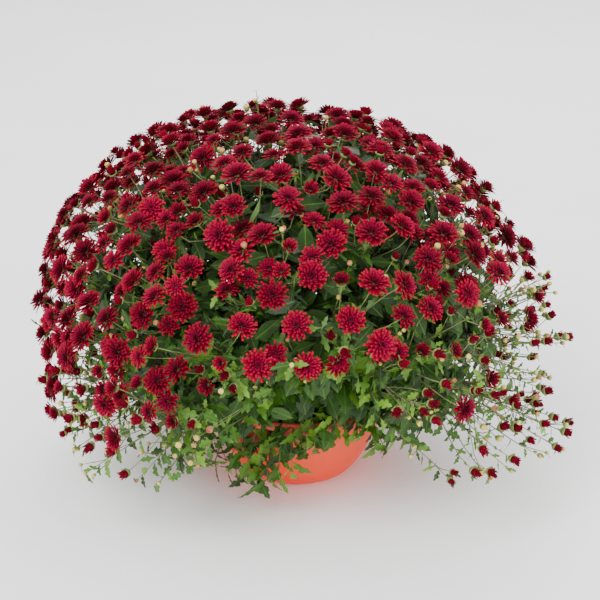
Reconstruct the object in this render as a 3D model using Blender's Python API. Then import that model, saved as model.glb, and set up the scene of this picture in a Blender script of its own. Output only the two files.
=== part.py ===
"""Pot chrysanthemum: a dome of small dark red blooms on leafy shoots, grown from one woody crown in a round
plastic bowl. The origin is on the ground under the middle of the bowl, +Z is up and -Y faces the viewer."""

import math
import random

import bmesh
import bpy
from mathutils import Matrix, Vector
from mathutils.bvhtree import BVHTree

MM = 0.001

# The bowl, a moulded plastic one with a flared wall and a rolled rim
BOWL_HEIGHT = 105 * MM
BOWL_RIM_RADIUS = 115 * MM
BOWL_BASE_RADIUS = 57 * MM
BOWL_WALL = 2.2 * MM
BOWL_FLOOR = 3 * MM
BOWL_FLARE = 0.62
BOWL_SIDES = 28
BOWL_LEVELS = (0.10, 0.28, 0.58)
RIM_DEPTH = 9 * MM
RIM_ROLL = 3 * MM
RIM_EDGE = 1.8 * MM
DRAIN_HOLES = 5
DRAIN_RADIUS = 5 * MM
DRAIN_SIDES = 8
DRAIN_CIRCLE = 30 * MM

# The potting soil, with one plain hole for the trunk
SOIL_TOP = 91 * MM
SOIL_SIDES = 24
SOIL_LUMP = 1.6 * MM
SOIL_ROOM = 1.2 * MM
SOIL_EDGE = 2 * MM
SOIL_FLAT = 0.6
TRUNK_SIDES = 9
TRUNK_FOOT = 58 * MM
TRUNK_RADIUS = 9 * MM
TRUNK_COLLAR = 3 * MM
TRUNK_SHARES = (1.0, 0.92, 0.78, 0.88)
GAP = 0.3 * MM

# The crown, from which every shoot springs, on a short woody trunk
CROWN = Vector((0, 0, 132 * MM))
CROWN_RADIUS = 16 * MM
TRUNK_TOP = CROWN.z - CROWN_RADIUS - GAP

# The shaded inner foliage round the crown, a ragged core from which the stems stand out
CORE_SHARE = 0.52
CORE_SPLITS = 3
CORE_ROUGHNESS = 0.07
CORE_STEP = 4 * MM
CORE_FOOT = -0.45
CORE_SHOULDER = 0.30
NORMAL_PULL = 0.15

# The outline of the whole head of foliage: a rounded dome, widest low down and leaning a little to the left
DOME_HALF_WIDTH = 291 * MM
DOME_EQUATOR = 152 * MM
DOME_RISE = 263 * MM
DOME_DROP = 165 * MM
DOME_POWER = 2.25
DOME_LEAN = -0.10
HALVINGS = 30

# Shoots, as directions spread evenly over the dome
SHOOTS = 52
LOWEST_SHOOT = math.radians(95)
LOWEST_HEAD = math.radians(97)
NECK_SHARE = 0.62
BELLY_SHARE = 0.745
TIP_SHARE = 0.835
HUB_SHARE = 0.86
BELLY_WIDTHS = (31 * MM, 26 * MM)
SAG = 10 * MM
SAG_HEIGHT = 0.40

# In front of the bowl the low stems part and rise
PARTING_TURN = math.radians(-85)
PARTING_WIDTH = math.radians(26)
PARTING_LIFT = 130 * MM
PARTING_PULL = 0.15
PARTING_HEIGHT = 0.45
STEM_THICKNESS = 2 * MM

# Flower heads by age: lowest and highest radius, and how likely one is at a bare and at a rich place
HEAD_KINDS = {
    "full": (14.8 * MM, 17.4 * MM, 0.005, 0.60),
    "young": (9.8 * MM, 12.8 * MM, 0.012, 0.80),
    "red_bud": (5.2 * MM, 6.6 * MM, 0.035, 0.09),
    "pale_bud": (3.6 * MM, 4.3 * MM, 0.08, 0.06),
}
RICH_HEIGHTS = (0.10, 0.58)
RICH_TO_LEFT = 0.26
HEAD_SPOTS = 1500
HEAD_CLEARANCE = 1.0
HEAD_MIDDLE = 0.3
HEAD_DEPTH = 0.7
HEAD_DEPTHS = (0.95, 1.0)
DEPTH_STEP = 0.02
SIDE_TILT = 0.16
RISE_TILT = 0.12
STALK_PULL = 0.5
LIGHT_PULL = 0.2
LEAST_FACING = 0.45
MOST_HEADS = 12
STALK_REACH = 100 * MM
STALK_ROOM = 1.6 * MM
STALK_STEPS = 10
PEDICEL_THICKNESS = 0.8 * MM
STALK_WIDTHS = (1.9 * MM, 1.2 * MM)
STALK_LEAST_RISE = 0.2
BUD_LEAST_RISE = 0.6
HUB_RADIUS = 3.2 * MM
HUB_FOOT = 0.8
HUB_TOP = 0.6
HUB_SIDES = 5
STALK_SIDES = 3

# How a bloom and a bud are formed, as shares of the head's radius
PETALS = 5
FULL_TIP_LIFT = 0.10
FULL_NOTCH_LIFT = 0.26
YOUNG_TIP_LIFT = 0.30
YOUNG_NOTCH_LIFT = 0.42
NOTCH_RADIUS = 0.72
INNER_RADIUS = 0.56
INNER_LIFT = 0.62
FULL_HEART = 0.40
YOUNG_HEART = 0.30
BUD_BELLY = 0.9
BUD_TIP = 2.0
BUD_ROOM = 2.1
BLOOM_ROOM = 0.66
SIDE_ROOM = 1.1
ROOM_SIDES = 6

# Leaves round each shoot, and more that hang from the low ones
UPPER_LEAVES = 3
SKIRT_LEAVES = 4
LEAF_LENGTHS = (34 * MM, 48 * MM)
LEAF_WIDTH_SHARE = 0.60
LEAF_LOBES = ((0.44, 1.0), (0.60, 0.46))
LEAF_TROUGH = 0.16
LEAF_DROOPS = (0.04, 0.20)
LEAF_SHRINKS = (1, 0.85, 0.7)
LEAF_ROOT = 1.5 * MM
LEAF_KEEL = 1.3 * MM
LEAF_RIB = 0.6 * MM
LEAF_STALK = 5 * MM
LEAST_RISE = 0.76
UPPER_SPREADS = (62, 54, 70, 46, 38, 30)
SKIRT_SPREADS = (98, 90, 106, 114, 122)
COLLAR_LEAVES = 12
COLLAR_HEIGHTS = (0.02, 0.34)
COLLAR_SPREADS = (55, 45, 65, 35)
INNER_LEAVES = 34
INNER_SPREADS = (36, 26, 46, 16)
LOWEST_INNER_LEAF = math.radians(74)
CORE_TRIES = 3
LEAF_TEST_THICKNESS = 2.4 * MM
LEAF_TEST_GROWTH = 1.06
SKIRT_HEIGHT = 0.26

SEED = 1107
GOLDEN_ANGLE = math.pi * (3 - math.sqrt(5))


# The plan of the plant: plain numbers, with no mesh yet

def smooth_step(low, high, value):
    share = min(1.0, max(0.0, (value - low) / (high - low)))
    return share * share * (3 - 2 * share)


def cap_direction(index, count, lowest_angle):
    """One of count directions spread evenly from straight up down to lowest_angle."""
    height = 1 - (index + 0.5) / count * (1 - math.cos(lowest_angle))
    turn = index * GOLDEN_ANGLE
    flat = math.sqrt(max(0.0, 1 - height * height))
    return Vector((flat * math.cos(turn), flat * math.sin(turn), height))


def dome_reach(direction):
    """How far the dome's surface lies from the crown in that direction."""
    near, far = 0.0, 2 * DOME_HALF_WIDTH
    for _ in range(HALVINGS):
        middle = (near + far) / 2
        place = CROWN + direction * middle
        rise = place.z - DOME_EQUATOR
        across = math.hypot(place.x - DOME_LEAN * rise, place.y) / DOME_HALF_WIDTH
        up = abs(rise) / (DOME_RISE if rise > 0 else DOME_DROP)
        if across**DOME_POWER + up**DOME_POWER < 1:
            near = middle
        else:
            far = middle
    return near


def parting(direction):
    """How far the foliage draws apart in that direction to show the bowl, from 0 to 1."""
    turn = math.atan2(direction.y, direction.x) - PARTING_TURN
    return math.exp(-((turn / PARTING_WIDTH) ** 4)) * (1 - smooth_step(0, PARTING_HEIGHT, direction.z))


def along_shoot(direction, distance):
    """A point that far out on a stem that starts in this direction. Low stems hang, or part in front."""
    part = parting(direction)
    slack = 1 - smooth_step(0, SAG_HEIGHT, direction.z)
    bend = (distance / DOME_HALF_WIDTH) ** 2
    pulled = distance * (1 - PARTING_PULL * part * bend)
    return CROWN + direction * pulled + Vector((0, 0, (PARTING_LIFT * part - SAG * slack) * bend))


def across_of(direction):
    """Two directions square to the given one."""
    side = direction.cross(Vector((0, 0, 1)) if abs(direction.z) < 0.9 else Vector((0, 1, 0))).normalized()
    return side, direction.cross(side).normalized()


def richness(direction):
    """How thickly a place on the dome flowers: most on top and on the left, least low down on the right."""
    return smooth_step(*RICH_HEIGHTS, direction.z - RICH_TO_LEFT * direction.x)


def plan_shoots():
    shoots = []
    for index in range(SHOOTS):
        direction = cap_direction(index, SHOOTS, LOWEST_SHOOT)
        shoots.append({"direction": direction, "reach": dome_reach(direction)})
    return shoots


def owner_of(direction, shoots):
    return max(range(len(shoots)), key=lambda k: direction.dot(shoots[k]["direction"]))


def hub_of(shoot):
    return along_shoot(shoot["direction"], shoot["reach"] * HUB_SHARE)


def stalk_misses(start, end, head):
    """Whether a straight stalk passes clear of a flower head, which is as wide as its petals and shallow."""
    if (end - head["place"]).length > STALK_REACH + head["radius"]:
        return True
    for step in range(STALK_STEPS):
        offset = start.lerp(end, step / (STALK_STEPS - 1)) - head["place"]
        ahead = offset.dot(head["facing"])
        aside = (offset - head["facing"] * ahead).length
        near = -STALK_ROOM < ahead < HEAD_DEPTH * head["radius"] + STALK_ROOM
        if near and aside < head["radius"] + STALK_ROOM:
            return False
    return True


def head_fits(head, heads):
    """Whether a new head and its stalk keep clear of the heads and stalks that are there."""
    middle = head["place"] + head["facing"] * HEAD_MIDDLE * head["radius"]
    for other in heads:
        room = HEAD_CLEARANCE * (head["radius"] + other["radius"])
        if (middle - other["place"] - other["facing"] * HEAD_MIDDLE * other["radius"]).length < room:
            return False
    return all(
        stalk_misses(head["root"], head["place"], other) and stalk_misses(other["root"], other["place"], head)
        for other in heads
    )


def plan_heads(shoots, rng):
    """Blooms and buds spread over the dome, the oldest first, with no two pressed into each other."""
    depths = [rng.uniform(*HEAD_DEPTHS) for _ in shoots]
    counts = [0] * len(shoots)
    spots = [cap_direction(k, HEAD_SPOTS, LOWEST_HEAD) for k in range(HEAD_SPOTS)]
    heads = []
    for kind, (least, most, bare, rich) in HEAD_KINDS.items():
        rng.shuffle(spots)
        for spot in spots:
            chance, size = rng.random(), rng.uniform(least, most)
            lift = rng.uniform(-DEPTH_STEP, DEPTH_STEP)
            tilt = Vector((rng.gauss(0, SIDE_TILT), rng.gauss(0, SIDE_TILT), rng.gauss(0, RISE_TILT)))
            owner = owner_of(spot, shoots)
            if chance > bare + (rich - bare) * richness(spot) or counts[owner] >= MOST_HEADS:
                continue
            place = along_shoot(spot, dome_reach(spot) * (depths[owner] + lift))
            root = hub_of(shoots[owner])
            stalk = (place - root).normalized()
            facing = (spot + stalk * STALK_PULL + Vector((0, 0, LIGHT_PULL)) + tilt).normalized()
            head = {"kind": kind, "place": place, "facing": facing, "radius": size}
            head.update(owner=owner, root=root)
            if facing.dot(stalk) > LEAST_FACING and head_fits(head, heads):
                counts[owner] += 1
                heads.append(head)
    return heads


def leaf_edge(leaf):
    """The leaf's corner points from its right to its left root, and its middle, bent down by its droop."""
    along, upper, length = leaf["along"], leaf["upper"], leaf["length"]
    across = along.cross(upper).normalized()
    half = length * LEAF_WIDTH_SHARE / 2

    def placed(share, out):
        drop = leaf["droop"] * length * share * share - LEAF_TROUGH * abs(out) * half
        return leaf["base"] + along * length * share + across * half * out - upper * drop

    right = [placed(share, out) for share, out in LEAF_LOBES]
    left = [placed(share, -out) for share, out in reversed(LEAF_LOBES)]
    return [*right, placed(1, 0), *left], placed(0.5, 0)


# Meshes

def finish_object(name, bm, material):
    mesh = bpy.data.meshes.new(name)
    bm.to_mesh(mesh)
    bm.free()
    obj = bpy.data.objects.new(name, mesh)
    obj.data.materials.append(material)
    bpy.context.scene.collection.objects.link(obj)
    return obj


def make_material(name, colour, roughness):
    material = bpy.data.materials.new(name)
    material.use_nodes = True
    shader = material.node_tree.nodes["Principled BSDF"]
    shader.inputs["Base Color"].default_value = (*colour, 1)
    shader.inputs["Roughness"].default_value = roughness
    shader.inputs["Metallic"].default_value = 0
    return material


def ring(bm, centre, axes, radius, count, start=0.0, lift=0.0):
    """Vertices round a centre. The axes are two across and one along, and the radius may be a function."""
    side, other, along = axes
    made = []
    for k in range(count):
        turn = start + math.tau * k / count
        reach = radius(k) if callable(radius) else radius
        rise = lift(k) if callable(lift) else lift
        spoke = side * math.cos(turn) + other * math.sin(turn)
        made.append(bm.verts.new(centre + spoke * reach + along * rise))
    return made


def lace(bm, lower, upper):
    """Faces between two rings that turn the same way, with any number of vertices in each."""
    low = high = 0
    while low < len(lower) or high < len(upper):
        a, b = lower[low % len(lower)], upper[high % len(upper)]
        if high == len(upper) or (low < len(lower) and (low + 1) / len(lower) <= (high + 1) / len(upper)):
            low += 1
            bm.faces.new((a, lower[low % len(lower)], b))
        else:
            high += 1
            bm.faces.new((a, upper[high % len(upper)], b))


def bridge(bm, lower, upper):
    """Faces between two rings of one count, each pair split along the diagonal that bulges outwards."""
    count = len(lower)
    for k in range(count):
        a, b, c, d = lower[k], lower[(k + 1) % count], upper[(k + 1) % count], upper[k]
        outward = (b.co - a.co).cross(d.co - a.co)
        if (c.co - a.co).dot(outward) <= 0:
            bm.faces.new((a, b, d))
            bm.faces.new((b, c, d))
        else:
            bm.faces.new((a, b, c))
            bm.faces.new((a, c, d))


def frame_along(direction):
    side, other = across_of(direction)
    if side.cross(other).dot(direction) < 0:
        side, other = other, side
    return side, other, direction


def spokes(points):
    """Unit directions from the middle of a ring of points to each of them."""
    middle = sum(points, Vector()) / len(points)
    return [(point - middle).normalized() for point in points]


def untwisted(lower, upper):
    """The upper ring, started at the vertex that twists a tube from the lower ring least."""
    low = spokes([v.co for v in lower])
    high = spokes([v.co for v in upper])
    pairs = len(low) if len(low) == len(high) else 1

    def match(shift):
        return sum(low[k].dot(high[(k + shift) % len(high)]) for k in range(pairs))

    best = max(range(len(high)), key=match)
    return upper[best:] + upper[:best]


def grow_tube(bm, face, stops):
    """Draws a tube out of a face through each (centre, direction, thickness) and returns its end."""
    end = list(face.verts)
    bm.faces.remove(face)
    for centre, direction, thickness in stops:
        start = end
        end = untwisted(start, ring(bm, centre, frame_along(direction), thickness, len(start)))
        bridge(bm, start, end)
    return end


def sleeve(start, end, start_radius, end_radius, sides=STALK_SIDES):
    """A faceted sleeve round a stalk or a flower head, to test whether it would touch anything."""
    side, other = across_of((end - start).normalized())
    turns = [math.tau * k / sides for k in range(sides)]
    spokes_out = [side * math.cos(t) + other * math.sin(t) for t in turns]
    verts = [start + t * start_radius for t in spokes_out] + [end + t * end_radius for t in spokes_out]
    faces = [(k, (k + 1) % sides, (k + 1) % sides + sides, k + sides) for k in range(sides)]
    return BVHTree.FromPolygons(verts, [*faces, tuple(range(sides)), tuple(range(sides, 2 * sides))])


def head_sleeve(head):
    """The room that an open bloom or a bud takes up."""
    radius, facing = head["radius"], head["facing"]
    depth = BUD_ROOM if "bud" in head["kind"] else BLOOM_ROOM
    wide = SIDE_ROOM * radius
    start = head["place"] + facing * GAP
    return sleeve(start, start + facing * depth * radius, wide, wide, ROOM_SIDES)


def grow_bloom(bm, end, head):
    """Petals on a stalk's end: an outer star that spreads and, on a full bloom, an inner one more upright."""
    radius, facing = head["radius"], head["facing"]
    axes = frame_along(facing)
    full = head["kind"] == "full"
    tip_lift = radius * (FULL_TIP_LIFT if full else YOUNG_TIP_LIFT)
    notch_lift = radius * (FULL_NOTCH_LIFT if full else YOUNG_NOTCH_LIFT)
    around = ring(
        bm, head["place"], axes,
        lambda k: radius if k % 2 == 0 else NOTCH_RADIUS * radius, 2 * PETALS,
        lift=lambda k: tip_lift if k % 2 == 0 else notch_lift,
    )
    around = untwisted(end, around)
    lace(bm, end, around)
    heart_lift = YOUNG_HEART
    if full:
        half_turn = math.pi / PETALS
        inner = ring(bm, head["place"], axes, INNER_RADIUS * radius, PETALS, half_turn, INNER_LIFT * radius)
        inner = untwisted(around, inner)
        lace(bm, around, inner)
        heart_lift = FULL_HEART
        around = inner
    heart = bm.verts.new(head["place"] + facing * heart_lift * radius)
    for a, b in zip(around, around[1:] + around[:1]):
        bm.faces.new((a, b, heart))


def grow_bud(bm, end, head):
    """A closed bud: a round belly and a blunt point."""
    radius, facing = head["radius"], head["facing"]
    axes = frame_along(facing)
    belly = untwisted(end, ring(bm, head["place"], axes, radius, len(end), lift=BUD_BELLY * radius))
    bridge(bm, end, belly)
    point = bm.verts.new(head["place"] + facing * BUD_TIP * radius)
    for a, b in zip(belly, belly[1:] + belly[:1]):
        bm.faces.new((a, b, point))


def grow_hub(bm, centre, axes, foot_centre):
    """The knob where a spray's stalks part, on its own short foot, and the faces that stalks can leave by."""
    along = axes[2]
    foot = ring(bm, foot_centre, axes, STEM_THICKNESS * HUB_FOOT, STALK_SIDES)
    belt = ring(bm, centre, axes, HUB_RADIUS, HUB_SIDES)
    upper = ring(bm, centre + along * HUB_RADIUS * HUB_FOOT, axes, HUB_RADIUS * HUB_TOP, STALK_SIDES)
    lace(bm, foot, belt)
    lace(bm, belt, upper)
    bm.faces.new(foot[::-1])
    bm.faces.new(upper)
    return [f for f in bm.faces if any(v in upper for v in f.verts)]


def pick_face(faces, centre, head, taken):
    """The free face of the knob that points at the head best and whose stalk would touch nothing there."""
    def miss(face):
        return -(face.calc_center_median() - centre).normalized().dot((head["place"] - centre).normalized())

    top = head_sleeve(head)
    if any(top.overlap(other) for other in taken):
        return None
    for face in sorted(faces, key=miss):
        root = face.calc_center_median()
        way = (head["place"] - root).normalized()
        stalk = sleeve(root + way * HUB_RADIUS / 2, head["place"] - way * 1 * MM, *STALK_WIDTHS)
        clear = (root - centre).normalized().dot(way) > STALK_LEAST_RISE
        if clear and not any(stalk.overlap(other) for other in taken):
            taken += [stalk, top]
            return face
    return None


def make_spray(name, shoot, heads, material):
    """One flower spray: a knob on a short foot, and a stalk with its bloom or bud for each head.

    Returns the room it takes up.
    """
    direction, reach = shoot["direction"], shoot["reach"]
    bm = bmesh.new()
    centre = hub_of(shoot)
    faces = grow_hub(bm, centre, frame_along(direction), along_shoot(direction, reach * TIP_SHARE + GAP))
    taken = [BVHTree.FromBMesh(bm)]
    for head in sorted(heads, key=lambda h: (h["place"] - centre).normalized().dot(direction)):
        face = pick_face(faces, centre, head, taken)
        if face is None:
            continue
        faces.remove(face)
        end = grow_tube(bm, face, [(head["place"], head["facing"], PEDICEL_THICKNESS)])
        if head["kind"] == "red_bud":
            grow_bud(bm, end, head)
        else:
            grow_bloom(bm, end, head)
    space = BVHTree.FromBMesh(bm)
    finish_object(name, bm, material)
    return space


def grow_leaf(bm, face, leaf, keel_down):
    """A thin lobed blade out of a face of the shoot, thickest along its rib, with a three-sided root."""
    along, upper, base = leaf["along"], leaf["upper"], leaf["base"]
    across = along.cross(upper).normalized()
    points, middle = leaf_edge(leaf)
    uphill = face.normal.cross(across)
    uphill *= math.copysign(LEAF_KEEL, uphill.dot(upper)) * (-1 if keel_down else 1)
    start = list(face.verts)
    bm.faces.remove(face)
    right_root = bm.verts.new(base + across * LEAF_ROOT)
    left_root = bm.verts.new(base - across * LEAF_ROOT)
    keel = bm.verts.new(base + uphill)
    root = [right_root, keel, left_root] if keel_down else [right_root, left_root, keel]
    bridge(bm, start, untwisted(start, root))
    edge = [right_root, *map(bm.verts.new, points), left_root]
    top = bm.verts.new(middle + upper * LEAF_RIB)
    low = bm.verts.new(middle - upper * LEAF_RIB)
    for a, b in zip(edge, edge[1:]):
        bm.faces.new((a, b, top))
        bm.faces.new((b, a, low))
    if keel_down:
        bm.faces.new((left_root, right_root, top))
        bm.faces.new((right_root, keel, low))
        bm.faces.new((keel, left_root, low))
    else:
        bm.faces.new((right_root, left_root, low))
        bm.faces.new((left_root, keel, top))
        bm.faces.new((keel, right_root, top))


def leaf_hull(leaf):
    """A thickened blade, to test whether a leaf would touch anything."""
    points, middle = leaf_edge(leaf)
    points = [leaf["base"], *points]
    count = len(points)
    upper = leaf["upper"] * LEAF_TEST_THICKNESS
    grown = [middle + (p - middle) * LEAF_TEST_GROWTH for p in points]
    verts = [p + upper / 2 for p in grown] + [p - upper / 2 for p in grown] + [middle + upper, middle - upper]
    sides = [(k, (k + 1) % count) for k in range(count)]
    faces = [(a, b, 2 * count) for a, b in sides] + [(b + count, a + count, 2 * count + 1) for a, b in sides]
    faces += [(b, a, a + count, b + count) for a, b in sides]
    return BVHTree.FromPolygons(verts, faces)


def fit_leaf(face, direction, spreads, rng, blocked, outward=None):
    """A leaf that springs from the face, turned and shortened until it touches nothing."""
    root = face.calc_center_median()
    outward = outward or root - CROWN
    outward = (outward - direction * outward.dot(direction)).normalized()
    length = rng.uniform(*LEAF_LENGTHS)
    droop = rng.uniform(*LEAF_DROOPS)
    for shrink in LEAF_SHRINKS:
        for spread in spreads:
            lean = math.radians(spread)
            along = (direction * math.cos(lean) + outward * math.sin(lean)).normalized()
            upper = (direction * math.sin(lean) - outward * math.cos(lean)).normalized()
            if along.dot(face.normal) < LEAST_RISE:
                continue
            leaf = {
                "base": root + face.normal * LEAF_STALK,
                "along": along,
                "upper": upper,
                "length": length * shrink,
                "droop": droop,
            }
            hull = leaf_hull(leaf)
            if not any(hull.overlap(other) for other in blocked):
                return leaf, hull
    return None, None


def grow_leaves(bm, faces, count, direction, spreads, rng, blocked, keel_down):
    """Leaves on as many of the faces as asked for, each clear of the last ones."""
    for face in rng.sample(faces, min(count, len(faces))):
        leaf, hull = fit_leaf(face, direction, spreads, rng, blocked)
        if leaf:
            faces.remove(face)
            grow_leaf(bm, face, leaf, keel_down)
            blocked.append(hull)


def grow_pale_buds(bm, faces, buds, blocked):
    """Small green-stalked buds from a shoot, where their way to the surface is clear."""
    for bud in buds:
        face = min(faces, key=lambda f: (f.calc_center_median() - bud["place"]).length)
        root = face.calc_center_median() + face.normal * LEAF_STALK
        hulls = [
            sleeve(root, bud["place"], STALK_WIDTHS[0], STALK_WIDTHS[0]),
            head_sleeve({**bud, "radius": bud["radius"] + STALK_ROOM}),
        ]
        rise = (bud["place"] - root).normalized().dot(face.normal)
        if rise > BUD_LEAST_RISE and not any(hull.overlap(other) for hull in hulls for other in blocked):
            faces.remove(face)
            slim = STEM_THICKNESS * HUB_TOP
            stops = [(root, face.normal.copy(), slim), (bud["place"], bud["facing"], PEDICEL_THICKNESS)]
            grow_bud(bm, grow_tube(bm, face, stops), bud)
            blocked += hulls


def core_reach(direction, rng):
    """How far the inner foliage reaches that way. Its underside rises outwards, clear of the bowl's rim."""
    reach = dome_reach(direction) * CORE_SHARE * rng.uniform(1 - CORE_ROUGHNESS, 1 + CORE_ROUGHNESS)
    fullness = smooth_step(CORE_FOOT, CORE_SHOULDER, direction.z)
    return CROWN_RADIUS + (reach - CROWN_RADIUS) * fullness


def grow_shoot(bm, face, shoot, start):
    """A stem that widens into the ragged mass of its small inner leaves and ends at its flower spray."""
    direction, reach = shoot["direction"], shoot["reach"]
    axes = frame_along(direction)

    def at(share):
        return along_shoot(direction, reach * share)

    root = face.calc_center_median() + face.normal * CORE_STEP
    stops = [(root, face.normal.copy(), STEM_THICKNESS), (at(NECK_SHARE), direction, STEM_THICKNESS)]
    neck = grow_tube(bm, face, stops)
    belly = ring(bm, at(BELLY_SHARE), axes, lambda k: BELLY_WIDTHS[k % 2], 2 * STALK_SIDES, start)
    tip = ring(bm, at(TIP_SHARE), axes, STEM_THICKNESS, STALK_SIDES, start)
    belly = untwisted(neck, belly)
    lace(bm, neck, belly)
    lace(bm, belly, untwisted(belly, tip))
    bm.faces.new(tip)
    sides = {f for v in belly for f in v.link_faces if sum(w in belly for w in f.verts) == 2}

    def touching(end):
        found = [f for f in sides if any(v in end for v in f.verts)]
        return sorted(found, key=lambda f: f.calc_center_median()[:])

    return touching(tip), touching(neck)


def outward_of(face):
    """The direction from the crown to the middle of a face."""
    return (face.calc_center_median() - CROWN).normalized()


def best_face(faces, direction):
    """The face of the core that lies in that direction and looks that way."""
    return max(faces, key=lambda f: (outward_of(f) + f.normal * NORMAL_PULL).dot(direction))


def grow_core_leaves(bm, faces, aims, spreads, rng, blocked):
    """Leaves on the inner foliage, one towards each aim where there is room, that bend down a little."""
    for aim in aims:
        near = sorted(faces, key=lambda f: -outward_of(f).dot(aim))[:CORE_TRIES]
        for face in near:
            leaf, hull = fit_leaf(face, aim, spreads, rng, blocked, Vector((0, 0, -1)))
            if leaf:
                faces.remove(face)
                grow_leaf(bm, face, leaf, True)
                blocked.append(hull)
                break


def make_leafy_stems(shoots, heads, sprays, bowl, material, rng):
    """The whole green part: the crown and, towards every spray, a stem with its leaves and pale buds."""
    bm = bmesh.new()
    bmesh.ops.create_icosphere(bm, subdivisions=CORE_SPLITS, radius=1)
    for vertex in bm.verts:
        direction = vertex.co.normalized()
        vertex.co = CROWN + direction * core_reach(direction, rng)
    bm.normal_update()
    free = list(bm.faces)
    growing = []
    for shoot in shoots:
        direction = shoot["direction"]
        face = best_face(free, direction)
        free.remove(face)
        growing.append(grow_shoot(bm, face, shoot, rng.uniform(0, math.tau)))
    bm.normal_update()
    blocked = [*sprays, bowl, BVHTree.FromBMesh(bm)]
    low = [f for f in free if COLLAR_HEIGHTS[0] < outward_of(f).z < COLLAR_HEIGHTS[1]]
    turns = [math.tau * k / COLLAR_LEAVES for k in range(COLLAR_LEAVES)]
    collar = [Vector((math.cos(turn), math.sin(turn), 0)) for turn in turns]
    grow_core_leaves(bm, low, collar, COLLAR_SPREADS, rng, blocked)
    for index, (upper, lower) in enumerate(growing):
        buds = [h for h in heads if h["owner"] == index and h["kind"] == "pale_bud"]
        grow_pale_buds(bm, upper, buds, blocked)
    for shoot, (upper, lower) in zip(shoots, growing):
        direction = shoot["direction"]
        hanging = SKIRT_LEAVES if direction.z < SKIRT_HEIGHT else 0
        grow_leaves(bm, upper, UPPER_LEAVES, direction, UPPER_SPREADS, rng, blocked, False)
        grow_leaves(bm, lower, hanging, direction, SKIRT_SPREADS, rng, blocked, True)
    free = [f for f in free if f.is_valid and outward_of(f).z > COLLAR_HEIGHTS[1]]
    inner = [cap_direction(k, INNER_LEAVES, LOWEST_INNER_LEAF) for k in range(INNER_LEAVES)]
    grow_core_leaves(bm, free, inner, INNER_SPREADS, rng, blocked)
    return finish_object("leafy_stems", bm, material)


def cut_away(body, cutters):
    """Takes the cutters out of the body for good, and removes them."""
    for cutter in cutters:
        cut = body.modifiers.new("Cut", "BOOLEAN")
        cut.operation = "DIFFERENCE"
        cut.solver = "MANIFOLD"
        cut.object = cutter
    graph = bpy.context.evaluated_depsgraph_get()
    mesh = bpy.data.meshes.new_from_object(body.evaluated_get(graph))
    body.modifiers.clear()
    body.data = mesh
    for cutter in cutters:
        bpy.data.objects.remove(cutter)


def bowl_radius(height):
    """The bowl's outer radius: a quick flare above the foot, then a steeper wall up to the rim."""
    share = max(0.0, height) / BOWL_HEIGHT
    return BOWL_BASE_RADIUS + (BOWL_RIM_RADIUS - RIM_ROLL - BOWL_BASE_RADIUS) * share**BOWL_FLARE


def turned(name, profile, sides, material):
    """A solid of revolution from a closed profile of (radius, height) points."""
    bm = bmesh.new()
    rings = []
    for radius, height in profile:
        if radius < 1e-6:
            rings.append([bm.verts.new((0, 0, height))])
        else:
            turns = [math.tau * k / sides for k in range(sides)]
            rings.append([bm.verts.new((radius * math.cos(t), radius * math.sin(t), height)) for t in turns])
    for lower, upper in zip(rings, rings[1:] + rings[:1]):
        if len(lower) == 1 and len(upper) == 1:
            continue
        for k in range(sides):
            below = [lower[k % len(lower)], lower[(k + 1) % len(lower)]]
            above = [upper[(k + 1) % len(upper)], upper[k % len(upper)]]
            bm.faces.new(list(dict.fromkeys(below + above)))
    bmesh.ops.recalc_face_normals(bm, faces=bm.faces)
    return finish_object(name, bm, material)


def make_bowl(material):
    heights = [share * BOWL_HEIGHT for share in BOWL_LEVELS]
    rim_low = BOWL_HEIGHT - RIM_DEPTH
    outer = [(0, 0)] + [(bowl_radius(h), h) for h in (0, *heights, rim_low)]
    rim = [
        (BOWL_RIM_RADIUS, rim_low),
        (BOWL_RIM_RADIUS, BOWL_HEIGHT - RIM_EDGE),
        (BOWL_RIM_RADIUS - RIM_EDGE, BOWL_HEIGHT),
        (BOWL_RIM_RADIUS - RIM_ROLL - BOWL_WALL, BOWL_HEIGHT),
    ]
    inner = [(bowl_radius(h) - BOWL_WALL, h) for h in reversed(heights)]
    inner += [(BOWL_BASE_RADIUS - BOWL_WALL, BOWL_FLOOR), (0, BOWL_FLOOR)]
    bowl = turned("bowl", outer + rim + inner, BOWL_SIDES, material)
    cutters = []
    for k in range(DRAIN_HOLES):
        turn = math.tau * (k + 0.5) / DRAIN_HOLES
        place = Vector((DRAIN_CIRCLE * math.cos(turn), DRAIN_CIRCLE * math.sin(turn), BOWL_FLOOR / 2))
        bm = bmesh.new()
        bmesh.ops.create_cone(
            bm, cap_ends=True, segments=DRAIN_SIDES, radius1=DRAIN_RADIUS, radius2=DRAIN_RADIUS,
            depth=2 * BOWL_FLOOR, matrix=Matrix.Translation(place),
        )
        cutters.append(finish_object("drain_cutter", bm, material))
    cut_away(bowl, cutters)
    return bowl


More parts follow.
